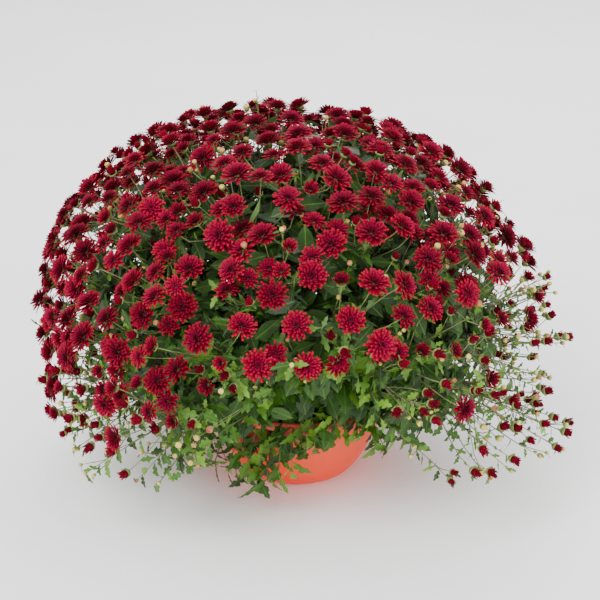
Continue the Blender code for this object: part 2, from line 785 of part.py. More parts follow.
def make_soil(material):
    """Potting soil that fills the bowl, with a slightly mounded, lumpy top and a hole for the trunk."""
    floor = BOWL_FLOOR + GAP
    heights = [share * BOWL_HEIGHT for share in BOWL_LEVELS]
    wall = BOWL_WALL + SOIL_ROOM
    sides = [(0, floor), (BOWL_BASE_RADIUS - wall, floor)] + [(bowl_radius(h) - wall, h) for h in heights]
    edge = bowl_radius(SOIL_TOP) - wall - SOIL_EDGE
    hole = TRUNK_RADIUS + GAP
    top = [(edge, SOIL_TOP - 2 * SOIL_EDGE), (SOIL_FLAT * edge, SOIL_TOP), (hole, SOIL_TOP)]
    well = [(hole, TRUNK_FOOT - GAP), (0, TRUNK_FOOT - GAP)]
    soil = turned("soil", sides + top + well, SOIL_SIDES, material)
    rng = random.Random(SEED + 5)
    for vertex in soil.data.vertices:
        if vertex.co.z > SOIL_TOP - 3 * SOIL_EDGE and math.hypot(vertex.co.x, vertex.co.y) > 2 * TRUNK_RADIUS:
            vertex.co.z += rng.uniform(-SOIL_LUMP, SOIL_LUMP)
    return soil


def make_trunk(material):
    """The short woody trunk, a little knotty, from its hole in the soil up to the crown."""
    bm = bmesh.new()
    axes = frame_along(Vector((0, 0, 1)))
    heights = (TRUNK_FOOT, SOIL_TOP + TRUNK_COLLAR, (SOIL_TOP + TRUNK_TOP) / 2, TRUNK_TOP)
    rings = [
        ring(bm, Vector((0, 0, height)), axes, share * TRUNK_RADIUS, TRUNK_SIDES)
        for height, share in zip(heights, TRUNK_SHARES)
    ]
    for lower, upper in zip(rings, rings[1:]):
        lace(bm, lower, upper)
    bm.faces.new(rings[0][::-1])
    bm.faces.new(rings[-1])
    return finish_object("woody_trunk", bm, material)


def main():
    for obj in list(bpy.data.objects):
        bpy.data.objects.remove(obj)
    rng = random.Random(SEED)
    shoots = plan_shoots()
    heads = plan_heads(shoots, rng)

    plastic = make_material("terracotta plastic", (0.75, 0.15, 0.08), 0.45)
    peat = make_material("peat soil", (0.05, 0.03, 0.02), 0.95)
    bark = make_material("woody stem", (0.12, 0.08, 0.05), 0.8)
    green = make_material("leaf green", (0.07, 0.13, 0.04), 0.6)
    red = make_material("dark red petal", (0.24, 0.008, 0.022), 0.6)

    bowl = make_bowl(plastic)
    make_soil(peat)
    make_trunk(bark)
    sprays = []
    for index, shoot in enumerate(shoots):
        own = [h for h in heads if h["owner"] == index and h["kind"] != "pale_bud"]
        if own:
            sprays.append(make_spray(f"flower_spray_{index + 1:02d}", shoot, own, red))
    bowl_faces = [tuple(polygon.vertices) for polygon in bowl.data.polygons]
    bowl_space = BVHTree.FromPolygons([vertex.co for vertex in bowl.data.vertices], bowl_faces)
    make_leafy_stems(shoots, heads, sprays, bowl_space, green, rng)


main()
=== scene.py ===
"""Pot chrysanthemum in its bowl: a dome of dark crimson double blooms over lobed leaves on thin branching stems."""

import math
import random

import bmesh
import bpy
from mathutils import Euler, Matrix, Vector


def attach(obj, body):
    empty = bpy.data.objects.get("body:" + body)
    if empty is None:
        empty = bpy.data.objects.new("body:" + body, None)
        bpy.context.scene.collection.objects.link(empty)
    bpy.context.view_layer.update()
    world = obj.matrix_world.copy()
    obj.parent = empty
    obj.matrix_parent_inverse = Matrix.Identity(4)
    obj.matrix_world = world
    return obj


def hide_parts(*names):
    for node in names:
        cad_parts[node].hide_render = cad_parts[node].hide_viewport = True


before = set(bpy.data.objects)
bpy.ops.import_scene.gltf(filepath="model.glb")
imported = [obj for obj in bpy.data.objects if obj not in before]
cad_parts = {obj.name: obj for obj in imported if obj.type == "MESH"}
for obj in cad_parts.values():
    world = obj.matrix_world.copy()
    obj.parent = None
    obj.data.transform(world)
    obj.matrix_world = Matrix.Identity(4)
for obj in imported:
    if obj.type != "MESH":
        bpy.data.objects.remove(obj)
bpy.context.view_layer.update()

MM = 0.001

# Sizes shared with the solids
BOWL_HEIGHT = 105 * MM
BOWL_RIM_RADIUS = 115 * MM
BOWL_BASE_RADIUS = 57 * MM
BOWL_WALL = 2.2 * MM
BOWL_FLOOR = 3 * MM
BOWL_FLARE = 0.62
RIM_DEPTH = 9 * MM
RIM_ROLL = 3 * MM
DRAIN_HOLES = 5
DRAIN_RADIUS = 5 * MM
DRAIN_CIRCLE = 30 * MM
SOIL_TOP = 91 * MM
TRUNK_FOOT = 58 * MM
TRUNK_RADIUS = 9 * MM
CROWN = Vector((0, 0, 132 * MM))
DOME_HALF_WIDTH = 291 * MM
DOME_EQUATOR = 152 * MM
DOME_RISE = 263 * MM
DOME_DROP = 165 * MM
DOME_POWER = 2.25
DOME_LEAN = -0.10
SHOOTS = 52
LOWEST_SHOOT = math.radians(95)
LOWEST_HEAD = math.radians(97)
HUB_SHARE = 0.86
SAG = 10 * MM
SAG_HEIGHT = 0.40
PARTING_TURN = math.radians(-85)
PARTING_WIDTH = math.radians(26)
PARTING_LIFT = 130 * MM
PARTING_PULL = 0.15
PARTING_HEIGHT = 0.45
# For each kind of head: its least and greatest radius, and its share of the places that flower thinly and thickly
HEAD_KINDS = {
    "full": (14.8 * MM, 17.4 * MM, 0.005, 0.60),
    "young": (9.8 * MM, 12.8 * MM, 0.012, 0.80),
    "red_bud": (5.2 * MM, 6.6 * MM, 0.035, 0.09),
    "pale_bud": (3.6 * MM, 4.3 * MM, 0.08, 0.06),
}
RICH_HEIGHTS = (0.10, 0.58)
RICH_TO_LEFT = 0.26
HEAD_SPOTS = 1500
HEAD_MIDDLE = 0.3
MOST_HEADS = 12
STALK_ROOM = 1.6 * MM
STALK_STEPS = 10
SEED = 1107
GOLDEN_ANGLE = math.pi * (3 - math.sqrt(5))

# Sizes of what only shows here
LOOKS_SEED, SOIL_SEED, TRUNK_SEED = SEED + 31, SEED + 5, SEED + 9
CROWDING_SPOTS = 900
CROWDING_SHARES = (0.86, 0.30)
THIN_PATCH = Vector((0.05, -0.64, 0.77))
THIN_PATCH_EDGES = (0.84, 0.97)
CROWDING_ROOM = 0.67
CROWDING_SIZES = (11.5 * MM, 15.5 * MM)
SIDE_SHOOTS = 340
LOWEST_SIDE_SHOOT = math.radians(98)
SHORTER_TRIES = (1.0, 0.95, 0.90, 0.85)
HANG = 36 * MM
LOWEST_TIP = 34 * MM
FRONT_RISE = 0.35
FRONT_START = 50 * MM
FARTHEST_LEFT = -296 * MM
FARTHEST_RIGHT = 303 * MM
LEAF_ROOM = 5 * MM
TWIG_LENGTHS = (20, 38)
SHADE_LEAVES = 3100
SHADE_LEAF_SIZES = (25, 37)
COLLAR_SHOOTS = 66
COLLAR_WINDOW = math.radians(16)
COLLAR_MIDDLE = math.radians(-74)
COLLAR_DRAPE = math.radians(-42)
SIDE_LEAF_SPACING = 8.5 * MM
MAIN_LEAF_SPACING = 8 * MM
STALK_LEAF_SPACING = 26 * MM
COLLAR_LEAF_SPACING = 5.5 * MM
LEAF_HALF_THICKNESS = 0.0066
LEAF_RIBS = (0.12, 0.48, 0.80)
FULL_PETALS = 104
CROWDED_PETALS = 72
YOUNG_PETALS = 58
BUD_PETALS = 26
PETAL_BELLY = 0.56
PETAL_BLUNTNESS = 0.27
BLOOM_GROWTH = 0.95
OPENING_GROWTH = 1.5
HEART_GROWTH = 0.95
CREAM_GROWTH = 0.86
OPENING_SHARE = 0.26
OPENING_SIZES = (4.4, 6.4)
CREAM_SIZES = (2.3, 3.6)
SPINS = (0, 6)
# How wide the cup of bracts is for the head above it, the last two at the ends of shoots
CUP_SIZES = {"full": 0.62, "crowded": 0.6, "young": 0.86, "red_bud": 1.7, "opening": 1.9, "cream": 1.7}
# A stem's thickness, age and vigour, each at its start and at its end
MAIN_STEM = (2.3 * MM, 1.2 * MM), (1.0, 0.45), (1.0, 0.9)
SIDE_STEM = (1.0 * MM, 0.5 * MM), (0.6, 0.2)
COLLAR_STEM = (1.2 * MM, 0.6 * MM), (0.6, 0.2), (1.0, 0.9)
TWIG = (0.6 * MM, 0.42 * MM), (0.35, 0.15), (0.6, 0.4)
STALK = (0.5, 0.15), (0.75, 0.45)
BLOOM_STALK_THICKNESS = 0.65 * MM
BUD_STALK_THICKNESS = 0.5 * MM


# The plan of the plant, the same as the solids follow

def smooth_step(low, high, value):
    share = min(1.0, max(0.0, (value - low) / (high - low)))
    return share * share * (3 - 2 * share)


def drift(rng, aside, up, lift=0.0):
    """A random offset, spread by aside to the sides, and by up about lift in height."""
    return Vector((rng.gauss(0, aside), rng.gauss(0, aside), rng.gauss(lift, up)))


def cap_direction(index, count, lowest_angle):
    """One of count directions spread evenly from straight up down to lowest_angle."""
    height = 1 - (index + 0.5) / count * (1 - math.cos(lowest_angle))
    turn = index * GOLDEN_ANGLE
    flat = math.sqrt(max(0.0, 1 - height * height))
    return Vector((flat * math.cos(turn), flat * math.sin(turn), height))


def dome_reach(direction):
    """How far the dome's surface lies from the crown in that direction."""
    near, far = 0.0, 2 * DOME_HALF_WIDTH
    for _ in range(30):
        middle = (near + far) / 2
        place = CROWN + direction * middle
        rise = place.z - DOME_EQUATOR
        across = math.hypot(place.x - DOME_LEAN * rise, place.y) / DOME_HALF_WIDTH
        up = abs(rise) / (DOME_RISE if rise > 0 else DOME_DROP)
        if across**DOME_POWER + up**DOME_POWER < 1:
            near = middle
        else:
            far = middle
    return near


def parting(direction):
    """How far the foliage draws apart in that direction to show the bowl, from 0 to 1."""
    turn = math.atan2(direction.y, direction.x) - PARTING_TURN
    return math.exp(-((turn / PARTING_WIDTH) ** 4)) * (1 - smooth_step(0, PARTING_HEIGHT, direction.z))


def along_shoot(direction, distance):
    """A point that far out on a stem that starts in this direction: low stems hang a little, or part in front."""
    part = parting(direction)
    slack = 1 - smooth_step(0, SAG_HEIGHT, direction.z)
    bend = (distance / DOME_HALF_WIDTH) ** 2
    pulled = distance * (1 - PARTING_PULL * part * bend)
    return CROWN + direction * pulled + Vector((0, 0, (PARTING_LIFT * part - SAG * slack) * bend))


def richness(direction):
    """How thickly a place on the dome flowers: most on top and on the left, least low down on the right."""
    return smooth_step(*RICH_HEIGHTS, direction.z - RICH_TO_LEFT * direction.x)


def plan_shoots():
    directions = [cap_direction(index, SHOOTS, LOWEST_SHOOT) for index in range(SHOOTS)]
    return [{"direction": direction, "reach": dome_reach(direction)} for direction in directions]


def owner_of(direction, shoots):
    return max(range(len(shoots)), key=lambda k: direction.dot(shoots[k]["direction"]))


def stalk_misses(start, end, head):
    """Whether a straight stalk passes clear of a flower head, which is as wide as its petals and shallow."""
    if (end - head["place"]).length > 0.1 + head["radius"]:
        return True
    for step in range(STALK_STEPS):
        offset = start.lerp(end, step / (STALK_STEPS - 1)) - head["place"]
        ahead = offset.dot(head["facing"])
        aside = (offset - head["facing"] * ahead).length
        if aside < head["radius"] + STALK_ROOM and -STALK_ROOM < ahead < 0.7 * head["radius"] + STALK_ROOM:
            return False
    return True


def head_fits(head, heads):
    """Whether a new head and its stalk keep clear of the heads and stalks that are there."""
    middle = head["place"] + head["facing"] * HEAD_MIDDLE * head["radius"]
    for other in heads:
        room = head["radius"] + other["radius"]
        if (middle - other["place"] - other["facing"] * HEAD_MIDDLE * other["radius"]).length < room:
            return False
    return all(
        stalk_misses(head["root"], head["place"], other) and stalk_misses(other["root"], other["place"], head)
        for other in heads
    )


def plan_heads(shoots, rng):
    """Blooms and buds spread over the dome, the oldest first, with no two pressed into each other."""
    depths = [rng.uniform(0.95, 1.0) for _ in shoots]
    counts = [0] * len(shoots)
    spots = [cap_direction(k, HEAD_SPOTS, LOWEST_HEAD) for k in range(HEAD_SPOTS)]
    heads = []
    for kind, (least, most, bare, rich) in HEAD_KINDS.items():
        rng.shuffle(spots)
        for spot in spots:
            chance, size, lift = rng.random(), rng.uniform(least, most), rng.uniform(-0.02, 0.02)
            tilt = drift(rng, 0.16, 0.12)
            owner = owner_of(spot, shoots)
            if chance > bare + (rich - bare) * richness(spot) or counts[owner] >= MOST_HEADS:
                continue
            place = along_shoot(spot, dome_reach(spot) * (depths[owner] + lift))
            root = along_shoot(shoots[owner]["direction"], shoots[owner]["reach"] * HUB_SHARE)
            stalk = (place - root).normalized()
            facing = (spot + stalk * 0.5 + Vector((0, 0, 0.2)) + tilt).normalized()
            head = {"kind": kind, "place": place, "facing": facing, "radius": size, "owner": owner, "root": root}
            if facing.dot(stalk) > 0.45 and head_fits(head, heads):
                counts[owner] += 1
                heads.append(head)
    return heads


def plan_crowding(shoots, heads, rng):
    """More blooms between and half under those of the plan, where the plant flowers thickly."""
    blooms = [head for head in heads if head["kind"] in ("full", "young")]
    extra = []
    spots = [cap_direction(k, CROWDING_SPOTS, LOWEST_HEAD) for k in range(CROWDING_SPOTS)]
    rng.shuffle(spots)
    for spot in spots:
        size, depth = rng.uniform(*CROWDING_SIZES), rng.uniform(0.90, 1.0)
        facing = (spot * 1.3 + drift(rng, 0.22, 0.15, 0.2)).normalized()
        many, few = CROWDING_SHARES
        share = many + (few - many) * smooth_step(*THIN_PATCH_EDGES, spot.dot(THIN_PATCH))
        if rng.random() > share * richness(spot):
            continue
        place = along_shoot(spot, dome_reach(spot) * depth)
        if all((place - other["place"]).length > CROWDING_ROOM * (size + other["radius"]) for other in blooms):
            owner = owner_of(spot, shoots)
            head = {"kind": "crowded", "place": place, "facing": facing, "radius": size, "owner": owner}
            blooms.append(head)
            extra.append(head)
    return extra


# Materials. One pixel of the render is about 1 mm, so nothing finer than that can show.

def linear(hex_colour):
    """A colour written as sRGB hex, as the linear values that a shader takes."""
    parts = [int(hex_colour[k:k + 2], 16) / 255 for k in (1, 3, 5)]
    return (*(p / 12.92 if p <= 0.04045 else ((p + 0.055) / 1.055) ** 2.4 for p in parts), 1)


def add_node(tree, kind, inputs=(), steps=(), **settings):
    """Adds a node with its settings. Its inputs, named or in order, each take a value, a hex colour, or the node
    or socket that feeds them. A colour ramp takes its steps, each a place and a hex colour."""
    node = tree.nodes.new(kind)
    for name, value in settings.items():
        setattr(node, name, value)
    for key, value in inputs.items() if isinstance(inputs, dict) else enumerate(inputs):
        if isinstance(value, bpy.types.Node):
            value = next(socket for socket in value.outputs if socket.enabled)
        if isinstance(value, bpy.types.NodeSocket):
            tree.links.new(value, node.inputs[key])
        else:
            node.inputs[key].default_value = linear(value) if str(value).startswith("#") else value
    for count, (place, colour) in enumerate(steps):
        elements = node.color_ramp.elements
        element = elements[count] if count < 2 else elements.new(place)
        element.position, element.color = place, linear(colour)
    return node


def new_material(name, marks=(), *grains):
    """A bare material and its tree, then the marks that its meshes carry, then cloudy patterns, each with the size
    of its patches in metres, its detail and its roughness."""
    material = bpy.data.materials.new(name)
    material.use_nodes = True
    tree = material.node_tree
    tree.nodes.clear()
    place = add_node(tree, "ShaderNodeTexCoord").outputs["Object"]
    carried = [add_node(tree, "ShaderNodeAttribute", attribute_name=mark).outputs["Fac"] for mark in marks]
    for size, detail, rough in grains:
        inputs = {"Vector": place, "Scale": 1 / size, "Detail": detail, "Roughness": rough}
        carried.append(add_node(tree, "ShaderNodeTexNoise", inputs))
    return material, tree, *carried


def end_material(material, body, layers, looks, relief=None, strength=0.0, depth=0.0, sheen=0.0):
    """The surface: a colour with layers blended in, each with how, how much and which colour, then its roughness,
    IOR and specular level, a relief that is depth metres deep, and its sheen."""
    tree = material.node_tree
    for blend, factor, colour in layers:
        body = add_node(tree, "ShaderNodeMix", {0: factor, 6: body, 7: colour}, data_type="RGBA", blend_type=blend)
    inputs = {"Base Color": body, "Sheen Weight": sheen, **dict(zip(("Roughness", "IOR", "Specular IOR Level"), looks))}
    if relief:
        bump = {"Height": relief, "Strength": strength, "Distance": depth}
        inputs["Normal"] = add_node(tree, "ShaderNodeBump", bump)
    shader = add_node(tree, "ShaderNodeBsdfPrincipled", inputs)
    add_node(tree, "ShaderNodeOutputMaterial", {"Surface": shader})
    return material


def petal_material():
    """Ray petal of a dark red chrysanthemum, grown with a skin of tiny domed cells. They scatter the light, so it
    is velvety with next to no gloss: deep crimson, pinker at its tip and back, maroon in the unopened heart."""
    # The veins are 0.3 mm apart, too fine to show, so they are drawn as streaks 1.1 mm wide
    material, tree, along, layer, back, shade, veins = new_material(
        "crimson petal tissue", ("along", "layer", "back", "shade"), (1.11 * MM, 2, 0.55),
    )
    face, heart, under, tint = (
        add_node(tree, "ShaderNodeValToRGB", (mark,), steps) for mark, steps in (
            (along, ((0.0, "#420014"), (0.45, "#76001C"), (0.84, "#880020"), (1.0, "#B41838"))),
            (along, ((0.0, "#2C0014"), (0.6, "#5A0024"), (1.0, "#8E1440"))),
            (along, ((0.0, "#561020"), (0.6, "#760420"), (1.0, "#961230"))),
            (shade, ((0.0, "#A88490"), (0.5, "#E6E2E4"), (1.0, "#FFF0F0"))),
        )
    )
    streak = add_node(tree, "ShaderNodeMapRange", (veins, 0, 1, 0.86, 1.12))
    layers = ("MIX", layer, heart), ("MIX", back, under), ("MULTIPLY", 0.8, tint), ("MULTIPLY", 1.0, streak)
    return end_material(material, face, layers, (0.62, 1.4, 0.06), veins, 0.25, 0.2 * MM, 0.02)


def leaf_material():
    """Full-grown chrysanthemum leaf with a thin waxy skin, so its face shines dully. Its ribs are paler, fine hair
    turns its back grey-green, and the leaves high up are painted darker, as painted shade among the blooms."""
    # Patches 17 mm wide, half a leaf, set neighbours apart. The fields between the veinlets are 0.5 mm wide, too
    # fine to show, and drawn as 1.4 mm.
    material, tree, shade, rib, back, blotch, cells = new_material(
        "matt chrysanthemum leaf", ("shade", "rib", "back"), (16.67 * MM, 4, 0.55), (1.43 * MM, 2, 0.55),
    )
    steps = (0.0, "#163204"), (0.55, "#345E0E"), (1.0, "#729C2E")
    face = add_node(tree, "ShaderNodeValToRGB", (shade,), steps)
    place = add_node(tree, "ShaderNodeTexCoord").outputs["Object"]
    height = add_node(tree, "ShaderNodeSeparateXYZ", (place,)).outputs["Z"]
    # Painted shade: above 0.16 m the leaves are darkened, to 0.62 of their colour at 0.30 m, for the shadow among the
    # blooms
    patch, painted_shade_high_up, pale, hair = (
        add_node(tree, "ShaderNodeMapRange", values) for values in (
            (blotch, 0.3, 0.7, 0.72, 1.25), (height, 0.16, 0.30, 1.0, 0.62),
            (rib, 0.88, 1.0, 0, 0.35), (back, 0, 1, 0, 0.7),
        )
    )
    layers = ("MULTIPLY", 1.0, patch), ("MULTIPLY", 1.0, painted_shade_high_up), ("MIX", pale, "#729C2E"), ("MIX", hair, "#6C884A")
    return end_material(material, face, layers, (0.5, 1.42, 0.4), cells, 0.35, 0.4 * MM)


def stem_material():
    """Chrysanthemum stem, green and covered in fine pale down that keeps it matt, brown and corky where it is old."""
    # Corky patches are 11 mm long. The hairs are 0.1 mm thick, too fine to show, and drawn as 2 mm.
    material, tree, age, patch, down = new_material(
        "downy chrysanthemum stem", ("age",), (11.11 * MM, 3, 0.55), (2 * MM, 2, 0.55),
    )
    drawn = add_node(tree, "ShaderNodeMath", (patch, 0.9, -0.45), operation="MULTIPLY_ADD")
    aged = add_node(tree, "ShaderNodeMath", (drawn, age), operation="ADD")
    steps = (0.0, "#8A985A"), (0.3, "#646640"), (0.6, "#4E3E30"), (1.0, "#33281E")
    body = add_node(tree, "ShaderNodeValToRGB", (aged,), steps)
    return end_material(material, body, (), (0.62, 1.42, 0.3), down, 0.4, 0.4 * MM)


def pale_bud_material():
    """Closed ray petals before they colour, smooth and waxy, so they shine softly: cream, greener at the foot, and
    on the older buds with a red blush at the tip."""
    # The edges of the furled petals are 0.5 mm apart, too fine to show, and drawn as 1.7 mm
    material, tree, along, shade, folds = new_material(
        "cream closed bud", ("along", "shade"), (1.667 * MM, 2, 0.55),
    )
    cream, blush = (add_node(tree, "ShaderNodeValToRGB", (along,), steps) for steps in (
        ((0.0, "#55701E"), (0.3, "#A4A040"), (0.75, "#D0BC66"), (1.0, "#C89E50")),
        ((0.0, "#5E6A28"), (0.3, "#A87A40"), (0.75, "#B0503E"), (1.0, "#861C34")),
    ))
    warm = add_node(tree, "ShaderNodeMapRange", (shade, 0.45, 1.0))
    return end_material(material, cream, [("MIX", warm, blush)], (0.5, 1.42, 0.4), folds, 0.3, 0.3 * MM)


def bract_material():
    """Overlapping green bracts under a bloom, downy and so matt, with edges that have dried pale."""
    # The down is 0.1 mm thick, too fine to show, and drawn as 2 mm
    material, tree, along, down = new_material("green bract", ("along",), (2 * MM, 2, 0.55))
    steps = (0.0, "#546C30"), (0.55, "#5E7438"), (1.0, "#84884E")
    body = add_node(tree, "ShaderNodeValToRGB", (along,), steps)
    return end_material(material, body, (), (0.6, 1.42, 0.3), down, 0.3, 0.4 * MM)


def bowl_material():
    """Polypropylene dyed terracotta and injection-moulded: satin, with a faint orange peel, and dusty in patches.
    Its colour turns duller and pinker towards the rim, as painted shade from the foliage over it."""
    # Dust lies in patches 29 mm wide. The orange peel is 0.5 mm wide, too fine to show, and drawn as 1.5 mm.
    material, tree, dust, peel = new_material(
        "moulded terracotta polypropylene", (), (28.57 * MM, 5, 0.6), (1.538 * MM, 2, 0.55),
    )
    place = add_node(tree, "ShaderNodeTexCoord").outputs["Object"]
    height = add_node(tree, "ShaderNodeSeparateXYZ", (place,)).outputs["Z"]
    rim_shade_share, grime, rough = (add_node(tree, "ShaderNodeMapRange", values) for values in (
        (height, 0, BOWL_HEIGHT), (dust, 0.52, 0.8, 0, 0.22), (dust, 0, 1, 0.38, 0.56),
    ))
    # Painted shade: bright orange at the foot, duller and pinker up at the rim, for the foliage's shadow
    steps = (0.0, "#FF4014"), (0.5, "#F24A24"), (1.0, "#DC583C")
    body = add_node(tree, "ShaderNodeValToRGB", (rim_shade_share,), steps)
    return end_material(material, body, [("MIX", grime, "#C88468")], (rough, 1.49, 0.5), peel, 0.12, 0.3 * MM)


def peat_material():
    """Milled peat with bark, kept damp: rough dark brown crumbs 4 mm wide without gloss, with paler fibres."""
    material, tree, crumbs = new_material("damp peat", (), (4.167 * MM, 5, 0.7))
    steps = (0.3, "#1E150F"), (0.55, "#3A2A1E"), (0.75, "#6A523C")
    body = add_node(tree, "ShaderNodeValToRGB", (crumbs,), steps)
    return end_material(material, body, (), (0.9, 1.33, 0.25), crumbs, 0.8, 2 * MM)


def bark_material():
    """Cork on an old stem base that has split as it thickened: dry, matt and grey-brown, with cracks 2.4 mm wide
    and more than four times as long."""
    material, tree = new_material("corky bark")
    place = add_node(tree, "ShaderNodeTexCoord").outputs["Object"]
    drawn = add_node(tree, "ShaderNodeMapping", {"Vector": place, "Scale": (1, 1, 0.22)})
    cracks = add_node(tree, "ShaderNodeTexNoise", {"Vector": drawn, "Scale": 1 / (2.38 * MM), "Detail": 4})
    steps = (0.3, "#3A2C20"), (0.5, "#6B563F"), (0.75, "#9A8468")
    body = add_node(tree, "ShaderNodeValToRGB", (cracks,), steps)
    return end_material(material, body, (), (0.8, 1.45, 0.3), cracks, 0.8, 1 * MM)


# Mesh pieces

def put_in_scene(name, data):
    obj = bpy.data.objects.new(name, data)
    bpy.context.scene.collection.objects.link(obj)
    return obj


def new_object(name, verts, faces, material=None, edges=(), values=None, backs=()):
    """An object from plain lists, with numbers kept for each vertex, and for each face whether it is a back."""
    mesh = bpy.data.meshes.new(name)
    mesh.from_pydata([tuple(v) for v in verts], list(edges), faces)
    for label, numbers in (values or {}).items():
        if isinstance(numbers[0], tuple):
            flat = [part for item in numbers for part in item]
            mesh.attributes.new(label, "FLOAT_VECTOR", "POINT").data.foreach_set("vector", flat)
        else:
            mesh.attributes.new(label, "FLOAT", "POINT").data.foreach_set("value", numbers)
    if backs:
        mesh.attributes.new("back", "FLOAT", "FACE").data.foreach_set("value", backs)
    if material:
        mesh.materials.append(material)
    mesh.update()
    return put_in_scene(name, mesh)


def make_petal(name, width, ridge, curl, lift):
    """One ray petal one unit long along +Y, facing +Z: ridged on top, flat beneath, blunt at its tip."""
    half, tip = 0.5 * width, PETAL_BLUNTNESS * width
    verts = [
        (0, 0, 0), (-half, PETAL_BELLY, lift), (0, PETAL_BELLY, lift + ridge), (half, PETAL_BELLY, lift),
        (-tip, 1, lift + curl), (tip, 1, lift + curl),
    ]
    upper = [(0, 3, 2), (0, 2, 1), (2, 3, 5), (2, 5, 4), (2, 4, 1)]
    lower = [(0, 1, 3), (1, 4, 5, 3)]
    backs = [0.0] * len(upper) + [1.0] * len(lower)
    return new_object(name, verts, upper + lower, values={"along": [v[1] for v in verts]}, backs=backs)


# Leaf edges from root to tip: how far along the rib, and how far out as a share of half the width
LEAF_OUTLINE = (
    (0.02, 0.06), (0.20, 0.22), (0.25, 0.74), (0.39, 0.66), (0.43, 0.34), (0.53, 1.0), (0.68, 0.82), (0.70, 0.40),
    (0.85, 0.46),
)
SMALL_LEAF_OUTLINE = ((0.02, 0.08), (0.34, 0.42), (0.48, 1.0), (0.60, 0.48), (0.80, 0.58))
PLAIN_LEAF_OUTLINE = ((0.04, 0.10), (0.45, 1.0), (0.75, 0.70))


def make_leaf(name, outline, width, droop, fold, twist):
    """One lobed leaf one unit long on a short stalk. It lies along +Y, faces +Z and is bent along its rib."""

    def placed(out, share, side):
        across = out * width / 2
        sag = -droop * share * share + fold * abs(across) + twist * across * (share - 0.4)
        wave = 0.02 * math.sin(share * 23) * abs(out)
        return Vector((across, share, sag + wave + side * LEAF_HALF_THICKNESS * (1 - abs(out)) ** 0.5))

    rim = [(half, share) for share, half in outline] + [(0, 1.0)]
    rim += [(-half, share) for share, half in reversed(outline)]
    verts = [placed(out, share, -1) for out, share in rim]
    verts += [placed(0, share, side) for side in (1, -1) for share in LEAF_RIBS]
    count = len(rim)
    upper, lower = count, count + len(LEAF_RIBS)
    nearest = []
    for k in range(count):
        middle = (rim[k][1] + rim[(k + 1) % count][1]) / 2
        nearest.append(min(range(len(LEAF_RIBS)), key=lambda rib: abs(LEAF_RIBS[rib] - middle)))
    faces = []
    for k, rib in enumerate(nearest):
        end = (k + 1) % count
        faces += [(k, end, upper + rib), (end, k, lower + rib)]
        while rib != nearest[end]:
            following = rib + (1 if nearest[end] > rib else -1)
            faces += [(end, upper + following, upper + rib), (end, lower + rib, lower + following)]
            rib = following
    backs = [0.0, 1.0] * (len(faces) // 2)
    ribs = [1.0 - min(1.0, abs(out) * 2.2) for out, _ in rim] + [1.0] * (2 * len(LEAF_RIBS))
    return new_object(name, verts, faces, values={"rib": ribs}, backs=backs)


def lathe(name, profile, sides, wobble=None, material=None):
    """A closed turned shape from (radius, height, along) points that start and end on the axis."""
    verts, faces, along, rings = [], [], [], []
    for radius, height, share in profile:
        turns = [math.tau * k / sides for k in range(sides)] if radius > 1e-6 else [0]
        rings.append(list(range(len(verts), len(verts) + len(turns))))
        for k, turn in enumerate(turns):
            reach = radius * (wobble(k, share) if wobble else 1)
            verts.append(Vector((reach * math.cos(turn), reach * math.sin(turn), height)))
            along.append(share)
    for low, high in zip(rings, rings[1:]):
        for k in range(sides):
            corners = [low[k % len(low)], low[(k + 1) % len(low)], high[(k + 1) % len(high)], high[k % len(high)]]
            faces.append(tuple(dict.fromkeys(corners)))
    return new_object(name, verts, faces, material, values={"along": along})


def make_turned_patterns():
    """A cup of bracts one unit wide, from its stalk up to the petals, then one unit in radius a closed round bud on
    its own cup, and the closed inner petals of an opening bud."""
    cup = (0, -0.42, 0), (0.16, -0.38, 0.1), (0.42, -0.12, 0.6), (0.50, 0.06, 1), (0, -0.10, 0.6)
    bud = (0, -0.15, 0), (0.60, -0.05, 0.05), (1.0, 0.50, 0.32), (0.92, 1.05, 0.7), (0.48, 1.42, 0.9), (0, 1.36, 1.0)
    heart = (0, -0.1, 0), (0.62, 0.05, 0), (0.80, 0.55, 0.4), (0.55, 1.02, 0.7), (0, 1.16, 1)
    return (
        lathe("calyx_pattern", cup, 6, lambda k, share: 1 + (0.12 if k % 2 else -0.08) * share),
        lathe("pale_bud_pattern", bud, 8, lambda k, share: 1 + (0.05 if k % 2 else -0.05) * min(1, 2 * share)),
        lathe("bud_heart_pattern", heart, 8, lambda k, share: 1 + (0.07 if k % 2 else -0.07)),
    )


# Geometry node trees

def new_tree(name, inputs, chances=()):
    """A tree with named inputs. Gives back the tree, its output, and what it holds by name: its inputs, each
    point's index, and for each point a random number from low to high."""
    tree = bpy.data.node_groups.new(name, "GeometryNodeTree")
    for label, (kind, value) in {"Geometry": ("Geometry", None), **inputs}.items():
        socket = tree.interface.new_socket(label, in_out="INPUT", socket_type="NodeSocket" + kind)
        if value is not None:
            socket.default_value = value
    tree.interface.new_socket("Geometry", in_out="OUTPUT", socket_type="NodeSocketGeometry")
    given = add_node(tree, "NodeGroupInput")
    held = {socket.name: socket for socket in given.outputs if socket.name}
    held["index"] = add_node(tree, "GeometryNodeInputIndex")
    for label, low, high, step in chances:
        seed = add_node(tree, "ShaderNodeMath", (held["Seed"], step), operation="ADD")
        inputs = {2: held.get(low, low), 3: held.get(high, high), "Seed": seed}
        held[label] = add_node(tree, "FunctionNodeRandomValue", inputs)
    return tree, add_node(tree, "NodeGroupOutput"), held


def work_out(tree, held, kind, *rows):
    """Adds a node for each row: what it works out, its operation, and its values or the names of what is held."""
    for label, operation, *values in rows:
        held[label] = add_node(tree, kind, [held.get(value, value) for value in values], operation=operation)


